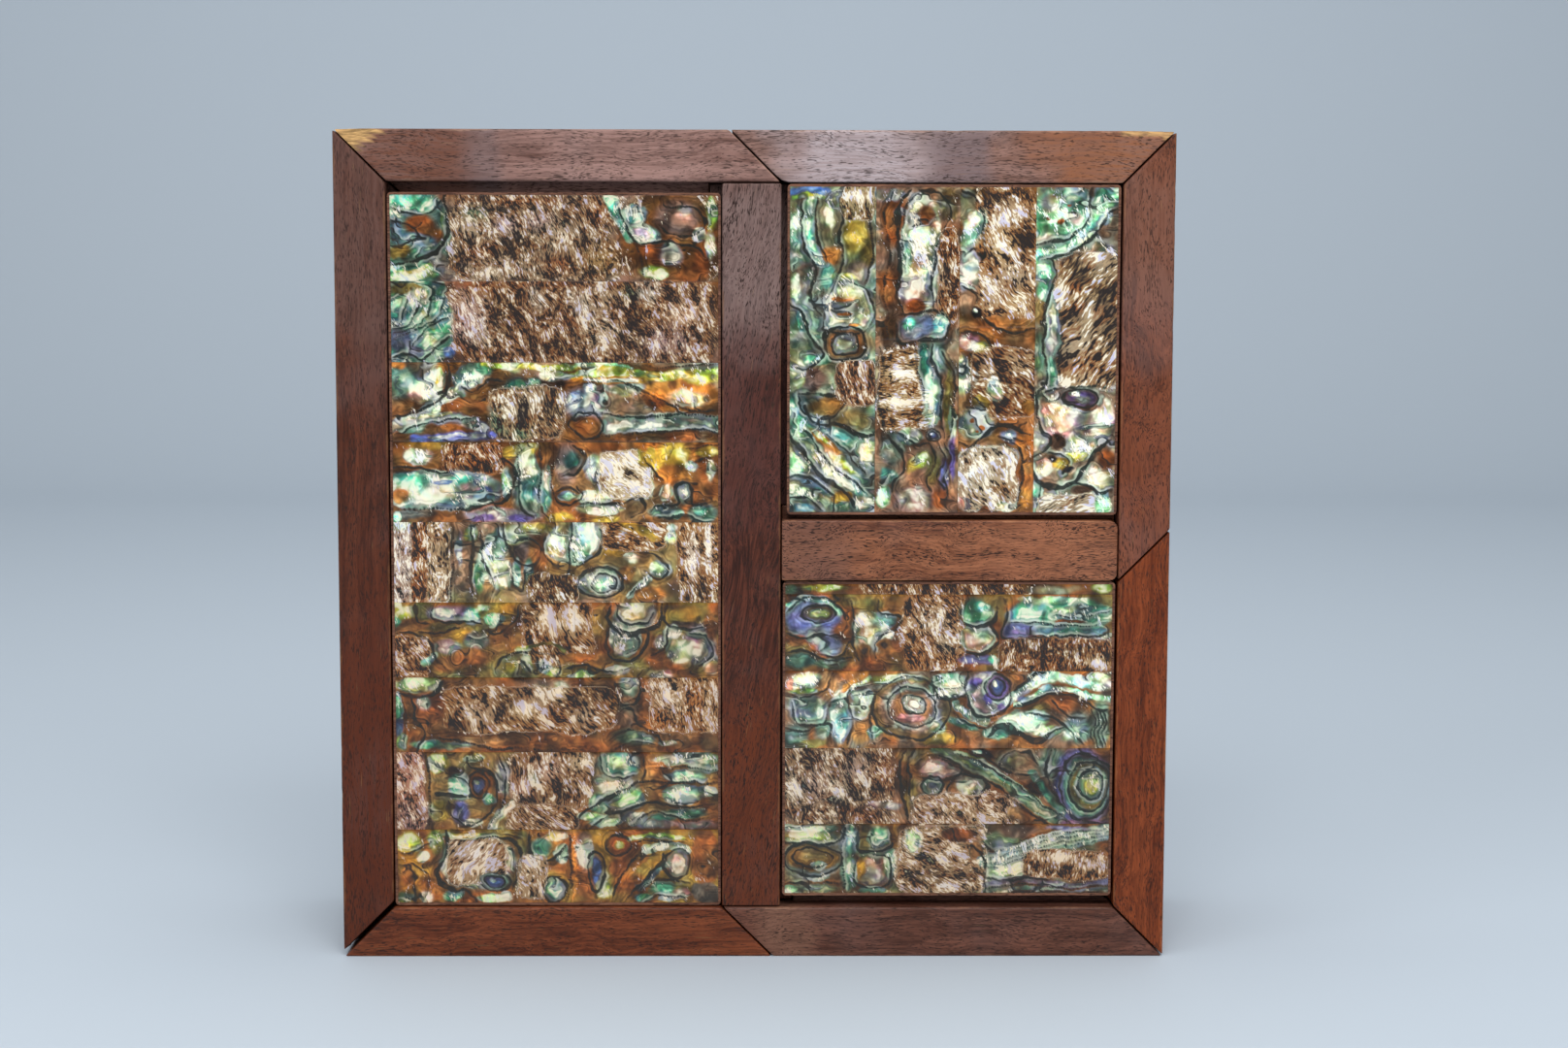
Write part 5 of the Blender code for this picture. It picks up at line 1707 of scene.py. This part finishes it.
MARKS["upper", 2] = """
on mauve+brown tan+mauve
dab rust 25 8 3 6, 24 24 2.6 5 / pink 27 6.3 1.4 1 / grey+lilac 24 2 3.6 1.6
hard cream+silver 31.6 16 5 14
dab white+cream 31.8 14.4 3.2 6 / white 31 12 1.6 3 / rust 33 7 2.4 2.6 / pink+tan 34.6 9 1.4 1
dab lilac+pink 30 25 3.2 4 / rust 30.4 29 2.2 1.8 / aqua+mint 28.2 17 .9 4
hair rust+brown 35.8 10 41 33 72
tint black+silver 36.4 22 3 4
dab tan+olive 38.8 4 2 4 / grey+blue 31 34 4.4 3 / aqua 36.7 33.4 1.7 3, 29 33 1.4 1.4
dab brown+dark 24 34 2 3
hair tan+brown 21.6 39 35 59 6
tint cream 27 45 4 2, 26 52 4 2
dab teal 32.9 42.6 1.6 5.4 / grey+teal 36 40 2 5 / aqua+white 34.5 51.3 2.4 6
dab sky+blue 35.6 53.5 1.3 1.6 / olive 38.6 50.8 1.1 9 / lime 39.6 57 .8 4 / teal+grey 25 63 3 4
dab silver+aqua 29.6 60.6 3 2
eye blue+black grey 35 60.3 1 1
dab lime+amber 31.3 66.6 3.2 1.6 -40 / cream 32.4 65.8 1.6 .7 -40 / olive+dark 35 68.6 2 4
dab violet 39.7 65.5 .9 5.4 / blue+violet 37.6 70 1 4 / lilac+grey 30.7 75.8 4.6 3
dab aqua+mint 23 75.3 1.9 2.4 / teal 24 70 2 2 / rust 37 75.8 1.9 2.2
line .9 29 .6, 26.4 5, 26 12, 26.6 20, 26.2 27, 27.6 31.6
line .35 31 1.2, 27.6 5.6, 27.2 12, 27.8 20
line .8 31 .8, 36 1.4, 39 5, 37.4 9.6, 35.6 14.4, 35 19, 34 24, 34.6 29.6
line .5 24.6 1, 23 8, 24 17, 22.8 27, 24 37 / 37.4 40, 39.8 46, 39.8 55, 38.4 62
line .5 36 62, 37.6 66, 36 70, 37.8 74 / 37.6 61.6, 39 66, 37.6 71, 39.2 76
line .5 34 62, 35.6 66, 33.6 71, 35 74 / 26.4 59.6, 31 62.8, 34 62.4
line .6 26.6 31, 30 30.8, 36 30.4, 40 33 / 25.6 33, 27 37.6, 33 37.2, 38 36.8, 38.8 31.6
line .6 22 38, 22.8 45, 21.6 51, 23 58, 22.2 64 / 31 38, 30.8 44, 32.6 49.6, 31.6 57, 33.8 60
line .6 35.2 37.6, 34.8 43, 37 48, 36.8 56, 38 61 / 24 60, 27 63.6, 27.8 68.4, 24.8 72, 27 78
"""
MARKS["upper", 3] = """
on brown rust+tan
hair rust+tan 44 -1 60.4 33.4 56 1.3
tint silver 52 6 5 3, 55 20 4 4, 49 25 3 4 / dark 50 2 5 2, 57 12 3 4
tint tan+cream 51 14 3 4, 56 28 3 3
dab olive+grey 42.8 5 2 5 / aqua+white 44.3 10.6 2.4 5 28 / white 44 9 1.1 2.6 28
dab black 46 16.4 1.5 1 / lilac+silver 43.2 20.6 2.6 5.6 / mauve+tan 43.4 27.5 2 3
dab black 45.4 30.2 1.5 1.5 / sky+white 45 29.8 .5 .5 / sienna 52 33.2 8 2 / pink 43.5 37.4 2.6 1.8
dab rose 44.4 36.2 1.6 .8 / lime+yellow 47 38.6 1.8 1.6 / cream 42.2 45.4 2.2 4.4
dab white+yellow 42 44 1.2 2
hair rust+dark 44.4 38.4 60.4 56 40 1.6
tint silver+tan 56 42 3 3, 48 43 2 3
dab cream 50 48.6 1.9 3.2 / white 49.8 48 .9 1.4 / orange 58.4 53 2.2 2 / amber+olive 46.6 52.6 2 2
dab cream+olive 45.2 57.3 4.2 3.6 / rust 44 56.4 .7 .7, 46.4 58.4 .8 .7, 45 59.4 .5 .5
dab grey+blue 53.5 60.2 2.2 1.6 / white+sky 53.2 59.8 .8 .5 / orange+rust 57.3 61.4 2.6 2.4
hair silver 41 63 56 78 58 1.4
tint silver+white 47 68 4 4 / tan 52 73 3 2
dab sienna 57.6 68 2.2 5 / pink 42.7 76.3 1.8 1.4 / cream 53 77.4 2.6 1.1 / rust 47.8 78.5 1.8 1.5
dab orange 57.9 75.3 1.6 2.6
line .6 41.4 1, 45.4 4, 47 10, 46.6 17, 44.6 15, 42 17 / 50.6 60.4, 55.8 62.8, 56.8 70, 55.6 78
line .5 41.4 24, 45 26, 45.6 28 / 41.4 35.4, 47 35.6, 49 38 / 47.6 45, 52 45, 53 49, 51 52.6, 48 51
line .7 46.8 31.4, 50 33.4, 54 34.8, 59.6 34 / 44 40, 46 44, 44.4 50, 48 54, 43 53.4
line .8 41.6 65, 45.5 61.7, 50.3 57.9, 54 58.2, 59 60
line .4 43.4 66, 44.4 74, 46 77.4
"""
MARKS["upper", 4] = """
on brown+grey silver+tan
hard aqua+mint 66.6 6.3 7.4 6.4
dab silver+pink 63 4 2.4 2.4, 68.6 7.6 1.6 1.4 / teal+green 61 9.6 1.6 2.6, 70 2 2.4 1.4
dab rust 65.6 8.6 .9 .7, 67.6 4.6 .6 .5, 62.6 7.6 .6 .5 / cream+mint 66.4 3 3 1
dab teal+aqua 76.6 2.6 3 2.6 / aqua+sky 76.4 6.6 1.6 2
hair grey+brown 64.4 15 80.6 49 -50 1.9
tint silver 74 17 4 4, 70 38 4 4, 74 30 3 3 / dark 72 22 4 3, 76 26 3 4, 68 19 3 3
tint rust 69.3 24.7 2 1.6, 70 28.5 1.6 1.6, 71 43.7 6 3 / silver+tan 72 46.6 5 2
band aqua+mint 2.8 58.5 16.6, 64 14.8, 69.3 12.4, 73 8, 75.3 4.6, 79 1.4
band lime .7 60 18.2, 66 16.2, 72 12.4, 76.6 7
dab mint+aqua 61.7 19.6 2.1 3, 62.2 25 2.1 2.4 / white+mint 61.4 19 1 1.6 / olive+tan 61 30 2.2 3
dab grey+lilac 63.9 33.4 2 7.6 / silver 64.2 31 .9 4 / olive+teal 61 40 1.6 6
dab teal 63.9 45.4 1.4 4.4
hard pink+cream 67.4 54.6 6.2 5.2
dab tan+pink 70.4 57 4 2.4 / white+pink 76 56.2 3.2 5 / rust+dark 72.4 53 3.4 1.2
dab grey+mauve 70.6 50.6 5 3 / violet+dark 71 51 3.6 2.2 / grey+black 71.4 51.4 2 1.2
dab white+sky 69.6 50 1.3 .7 -30 / rose+pink 64 60 2 2, 68.6 59.6 2.4 1 / dark 65.2 61.7 2.4 2
dab white+yellow 71 62.8 3.6 3.2 / white 71.6 62 1.6 1.6 / yellow 68.8 65 1.6 1.4
dab amber 66 67.1 2.6 1.5 / black 64 66 1.2 1, 68 68.4 1.6 .8 / cream+pink 61.7 68.2 2.1 2.4
dab pink+white 74 70.6 2.7 2.4 / aqua 60.8 73 1.4 2 / rust 77.6 65.5 2 2.6 / dark 71.6 73.4 3 1.2
hair grey+silver 61 74.6 74.6 80 -20 1.5
dab mint 76.6 76.4 2 2.6
line .7 59.5 13.4, 67 12.6, 70.4 10, 72.4 5.6, 73 0
line .7 63.6 17, 64.4 21, 63.2 26.4, 62 30, 61.8 38, 62.6 46, 60.4 49.6
line .6 61 17.6, 67.6 15.4, 73.8 11.6, 77.6 6.4, 79.4 5.4 / 65.8 27, 66.2 34, 65.6 41, 66 47.8
line .6 69 71.6, 73 72.6, 75.6 74.4, 79.4 73.6
line .9 60 49.2, 61 58.4, 63.3 61, 62.7 63.3, 59.8 65.4
line .5 62 49.6, 66 48.6, 72 48, 79.4 48.8 / 62 71.4, 61.6 75, 64 76.4
line .5 63 64.6, 66 65, 68 66.6, 66.6 69.4
ring .45 71 51 3.8 2.4
line 1.1 58.7 65, 60 69.8, 65 72.8, 70 71, 72.6 67.6, 75.6 63.4, 79 61
"""

# %% [markdown]
# The lower lid has a sliver of a strip along its top and four full ones below it.

# %% Lower lid
MARKS["lower", 1] = """
on brown dark
dab olive+lime 9.6 .8 5 .8, 78 1 2.4 1.4 / teal+olive 1 1.2 2 1.4
hair brown 18 -1 60 3 70
dab grey+olive 66 1.4 7 1
"""
MARKS["lower", 2] = """
on brown+olive rust
hard blue+grey 6.9 8.2 7.2 5.4
dab violet+blue 4 9 3.4 2.4, 11 9 2.6 2
band aqua 1.3 .6 5.4, 5 3.8, 10 4, 13.4 6.6
dab olive+dark 8.3 7.1 4 1.8 / lime+cream 8.3 7.1 2.4 1 / white 7.8 6.9 .9 .4
dab rust 14 12 2.4 2.6, 3 14 2.6 1.4 / blue+grey 10.7 15 3 2.6 / lilac+grey 7 13.4 2 1.4
dab teal+dark 4 18.6 4.2 2 / olive+teal 11 19.6 4 1.4 / cream+olive 20.5 11.8 4.2 5
dab cream 19.6 9.4 1.6 2 / aqua+white 24.4 9 2.6 2 / olive 20 5 4 1.6
dab brown 19.2 16.7 2 1.8, 24 15 2 1.8 / dark 19.2 16.7 1 .9, 24 15 1 .9 / white 26 12.3 1.3 1.1
dab rust+dark 28 14.6 2 3
hair rust+tan 28.4 2.4 44 21.8 62
tint silver 36 9 5 3, 40 14 3 3 / sienna 32 18 4 2.4, 41 19 3 1.6
dab teal+green 46.8 7.3 4.2 3.6 / aqua 48.6 5.6 1.8 1.2
hard cream+olive 47.3 13.4 4.6 3.4
dab silver 46.6 13.6 2.6 1.8 / blue+violet 47.3 18.8 4.7 1.3 / aqua 51.6 18.6 1.4 1
hard teal+aqua 67.5 7.8 12.6 5
dab aqua 61 6 4.4 1.6, 74.4 8 4.4 1.6 / cream+mint 70.3 6.6 4.2 1.2
dab blue+teal 64 10.8 4 1.4, 76 11.6 3.4 1 / mint 66 3.8 8 .8 / rust 70 9.2 4.4 .6
dab blue+violet 57.6 11.6 4 2.4 / teal+blue 74 14.6 6.2 1.8 / blue 78 16.4 2.2 .9
dab pink+cream 78.5 13 2.2 .6
hair rust+brown 52.6 13.2 80.6 22 86
tint dark 60 15.6 6 1.8, 70 16.4 6 1.4 / sienna 66 20.4 14 1.4 / cream 77 19.6 2 1.4
line .5 .4 7.6, 3 4.6, 8 3.2, 13 5, 15 9, 13.6 13.6 / 8 17, 13 18, 15.8 14
line .5 16.4 4, 17 9, 16 14, 18 19.4 / 22.6 4, 23.4 7, 28 8.2, 28 11, 24.6 12, 22 14.6, 22 18.6
ring .5 8.3 7.2 4.3 2.1
line .6 0 11.6, 4 13.4, 9 12.4, 13.6 13.6 / 0 16.6, 5 16.4, 9.6 18.6, 16.4 18.4
line .6 53.6 3, 54.4 8, 53.4 12.6, 58 13.6, 66 12.8, 73 12.9, 80 12.4
line .8 43 3, 42.6 9, 46 10.4, 51 9.6, 52.4 4.4
line .7 42.4 12, 44 16.6, 49 17.2, 52.6 14, 50.6 10.4
line .4 55.4 9.4, 62 9.4, 70 10.4, 80 9.6
line .35 66 7.6, 72 8.2, 80 6.8
"""
MARKS["lower", 3] = """
on sienna grey+brown
dab white 4.7 24 4.2 2 / pink+orange 1 24.6 1.2 2 / green+lime 5 26.6 4.2 .7 / tan 10.4 25.5 2.6 3
dab grey+silver 5.8 31.2 4.6 3.6 / teal+grey 3 37.6 3 3, 9.4 36 2.4 3 / olive 6.6 39.6 4 1
band orange 1.6 12.4 28.4, 16.7 24.5, 19.6 22.4 / cream .9 14 28.6, 18 25, 20.8 23
dab aqua+lilac 13.4 33 2.2 6 / white+sky 13.2 31 1 2.4 / lime+white 20 28 3 1.6
dab orange+cream 18.4 31.4 2.4 2.2 / tan+orange 18.6 36.6 2.6 3
hard tan+olive 31 30.8 9.8 8.2
dab olive+lime 28 23.4 7 1.1, 37.6 35.6 2.4 2.4 / tan+rust 31 30.8 8 6.8
dab pink+cream 31.2 30.8 6.6 5.6 / tan+rust 31.4 30.6 5.4 4.6 / rose+pink 30.4 33.6 3.6 1.2
dab cream+pink 32 30 2.9 2.4 / mauve 32 30 2 1.6 / cream+pink 32.1 29.9 1 .8
dab green 22.2 36.4 2.2 1.4 / cream+white 40.6 25.6 4.6 2.8 -10 / aqua+mint 40.6 23.4 3.6 1
dab olive+amber 38 38.6 5 1.4
hard lilac 49.4 27.2 5 5.4
dab violet 49.5 28.4 1.6 1.4, 53 30.4 1.3 1.4, 47 24.4 1.6 1.2 / pink+lilac 47.4 29.6 1.6 1.4
eye blue+black violet 52.2 25.6 2 1.8
band white+teal 1.9 42 30.2, 45.6 32.4, 49.8 34.2
dab teal+green 44 34.6 4 1.2 20 / aqua+mint 64.3 23 4 1.6
band white+aqua 2.2 54.5 29.2, 58 27, 62 24, 66.6 22.8, 71 23.4, 75.4 25.4, 80 25.4
band mint 1.3 57 30.4, 63 27, 69 25.6, 75 28, 80 28.6
dab blue+sky 65.4 26 2.4 .9, 59 28.8 1.6 .8 / mint+white 77 23.2 2.6 1.2 / rust 69.2 30 3.4 2
dab olive+brown 63 31 3 1.6 / mint+aqua 58.8 33.9 6 2.4 -10 / white+mint 58 33.6 3 1 -10
dab lime+cream 64.6 36.8 3 1.6 / aqua+green 52 37 3 1.4 / grey+teal 72 35.6 4 4
dab olive+teal 77.6 34.6 2.6 6 / mint 70.4 37.6 1.6 1.6
line .5 0 27.4, 5 28.2, 9.4 26.6, 12 22.4 / 1.6 29.4, 3 34.6, 9 34.4, 11 30
line .5 0 35.6, 5 36.2, 10.6 34.6, 11.6 40 / 11.2 29.4, 15.2 28.6, 16.2 33, 15.4 40
line .5 17 28, 22.6 26.4, 22 30, 20.8 34, 22.6 40 / 66 28.6, 70 32.6, 74 33
ring .5 31 30.9 9.4 7.9
ring .35 31.3 30.7 5.9 5
ring .4 32 30 3 2.5
line .6 36.4 23, 38 28, 42 28.8, 45.4 26.4 / 41 31.6, 45 34.2, 50 36
line .6 60 31.6, 66 33, 70 36.4, 74 40
line .7 45.4 22, 44.6 27, 46.4 31.8, 51 33, 55 30, 55.4 25.4
line .7 55.6 31.4, 61 29, 66.4 27.4, 72 28, 76 31, 79.6 31 / 56 27, 61 22.8, 64 21.8
line 1.1 50 38, 52.6 35.6, 55.5 36, 59 38, 62.6 39.3, 66 37, 68.6 35.5
line .35 75 31, 76.4 34, 75 37, 76.4 41 / 76 31, 77.4 34, 76 37, 77.4 41
line .35 77 31, 78.4 34, 77 37, 78.4 41 / 78 31, 79.4 34, 78 37, 79.4 41
"""
MARKS["lower", 4] = """
on brown tan+mauve
hair grey+mauve -1 40 27 61 64
tint lilac+silver 8 49.7 3 4, 18 46 3 3 / sky+white 2.5 50.8 2 3, 13 52 2 3
tint dark 14 56 3 3, 5 44 3 2.4, 20 52 2.6 3 / rust 25 47 3 5, 20 58 4 2
dab mauve+lilac 24.4 55.2 4.2 1 / tan+olive 34 43 5 2 / pink+rust 38 45.8 4.6 2.5
dab pink 37 45.2 2 .9 / sky+silver 36.4 50.2 2.2 2.2 / blue+grey 36.4 50.2 1.1 1.1
dab olive+brown 31.4 53 2 5 / cream+tan 45.7 50.4 3.6 2.5 20 / grey+mauve 43 47.6 2 1.6
band olive+teal 3.4 38 41, 46.8 45.4, 55 50, 63 56, 71 60.4
band green+lime .9 42 41.4, 50 45, 58 50.2, 66 56.4, 72 60 / aqua .8 46 44.2, 54 48.8, 60 53
dab black 48.4 42.5 3.4 1.6 / sky+aqua 47.4 42 1 .5 / grey+olive 56 43.6 4 2.4 / tan+grey 60 47 3 2
hair rust+silver 32 52.4 58 61 45
tint tan+cream 42 55 4 2, 50 58 4 2
dab dark 62 50.5 2.5 2.2 / teal+grey 66 45 4 4
hard blue+violet 73.6 50.6 7.6 9.4 / teal 74.6 50.4 6 7.4 / olive 75.2 50.2 4.6 5.8
hard teal+aqua 75.6 49.9 3.6 4.4
dab lime 75.7 49.7 2.5 3 / cream+lime 75.8 49.4 1.1 1.5
band teal 1.8 61 47, 64.8 52.4, 69 57
dab brown+violet 74 59.6 6 1.2 / tan 57 57 2 2
line .7 30.4 41, 28.2 46.4, 29.3 53.5, 31.5 61 / 37 43, 45 46.8, 53 51.4, 61 57.4, 67 61
line .5 32.4 41, 30.4 46.4, 31.4 53.5, 33.5 61
line .5 32 45, 36 42.6, 42.4 44.6, 43.4 47.6, 38 48.8, 32.6 47.6 / 53 45.6, 55 42, 60 41.4, 62.4 45
ring .45 36.4 50.2 2.5 2.5 / 75.2 50.1 4.9 6
line .6 39.4 52.4, 42 48, 47 47.6, 50 51.2, 46 53.6 / 40 40.8, 48 44.8, 56 49, 64 54.8, 73 60.6
line .6 44 41, 51 44.2, 58 47.6, 62 47.6 / 66 41, 64.4 47, 66.6 53, 71.6 58, 80 60
ring .4 75.6 49.9 2.9 3.5
ring .5 74.4 50.5 6.7 8
"""
MARKS["lower", 5] = """
on brown olive+grey
dab white+aqua 5.8 61 6 .9 / lime+yellow 7.4 63.4 7.2 1.8 / grey+teal 7.4 68.6 7.6 4.6
hard olive+brown 7.4 68.2 6.4 3.2
dab tan+olive 6 67.4 3.6 1.6 / mint 8.6 70 1.6 1 / aqua+grey 8.5 72.8 2.9 1 / mint 1.4 76.3 2 1
dab olive+teal 9 75.6 5 1.2 / aqua+grey 16 64 2.2 4, 16 72 2 4 / silver+mint 16.4 62.6 1.4 1.6
dab olive+black 19.5 64 1.4 3.6 / mint+teal 23.3 62.9 2.7 2.3 / amber+brown 27.8 63.6 1.8 3
dab lime+olive 20.6 67.6 2.6 1.2 / pink+tan 21.8 71.7 3.6 3.8 / amber 18.8 71 1.2 2.6
dab aqua+mint 26 70 1.6 3, 22 76.4 3 .9
hair silver+tan 28 60 50.4 78 36
tint dark 38 71 4 3, 33 75 4 2, 46 74 3 3 / silver 36 67 4 2.4, 42 76 3 1.4
dab cream+mint 31.8 64 2.4 3 / rust 43 62.6 4.2 2 / tan+rust 47.4 66.4 2 2.4
dab olive+teal 53 64 4 2.4 / grey+rust 58 61.8 5 1.4
band white+aqua 3.2 49.5 69.4, 56 67.6, 64 65, 72 62.6, 80 61.4
band aqua+teal 1.2 50 70.4, 58 68.6, 68 65.8, 80 63.4
band white+mint 1 53 66.6, 62 64, 72 61.6, 80 60.4
dab lime 70 64.2 4 .8 -15 / lilac+violet 71.4 61 6 .7 / mint+cream 56 71.7 5.4 2.3 -8
hair rust+tan 59 66.4 80.6 73.8 86
tint white+tan 68 68.4 6 1.4, 76 70 4 1.4 / dark 66 71.6 7 1.2
band violet+grey 1.6 50 75, 58 74, 68 75.4, 80 74.2 / grey+silver 1 51 77, 60 76.2, 70 77, 80 76
dab dark 64 77.6 14 .8
line .6 0 64.6, 6 65, 13 63.8, 15 61 / 17.8 68, 17.2 74, 21 76, 25.6 74.6, 25.8 68.8, 21 67.4
line .6 41.3 60.6, 43 64.8, 46.8 65.6, 49.4 68, 50 73, 50 78
ring .6 7.4 68.6 7 3.9
ring .35 7.2 68.2 4.6 2.3
line .5 0 74.6, 6 74.2, 14 74.4 / 14.6 60, 14.2 67, 15 78 / 29.6 60.6, 29 66, 33.4 67.6, 34.8 62
line .5 45 60.4, 48 63, 51.4 66.4 / 50.6 73.4, 56 74.2, 61 73, 62 69.4
line .7 18 60.4, 18 66, 21.4 66.4, 26 65.8, 26.2 60.8
line .32 50.5 67, 60 64.6, 70 62, 80 60.8 / 50.5 68.25, 60 65.8, 70 63.1, 80 61.8
line .32 50.5 69.5, 60 67, 70 64.2, 80 62.8 / 50.5 70.75, 60 68.2, 70 65.3, 80 63.8
line .4 50 76, 58 75.2, 68 76.2, 80 75.2 / 60 74, 68 73.8, 80 73.4
"""

# %% [markdown]
# Every row of marks is now painted on its strip, and the strip is cut into its pieces.

# %% Lay every strip
for (lid, number), marks in MARKS.items():
    lay_strip(lid, number, marks)
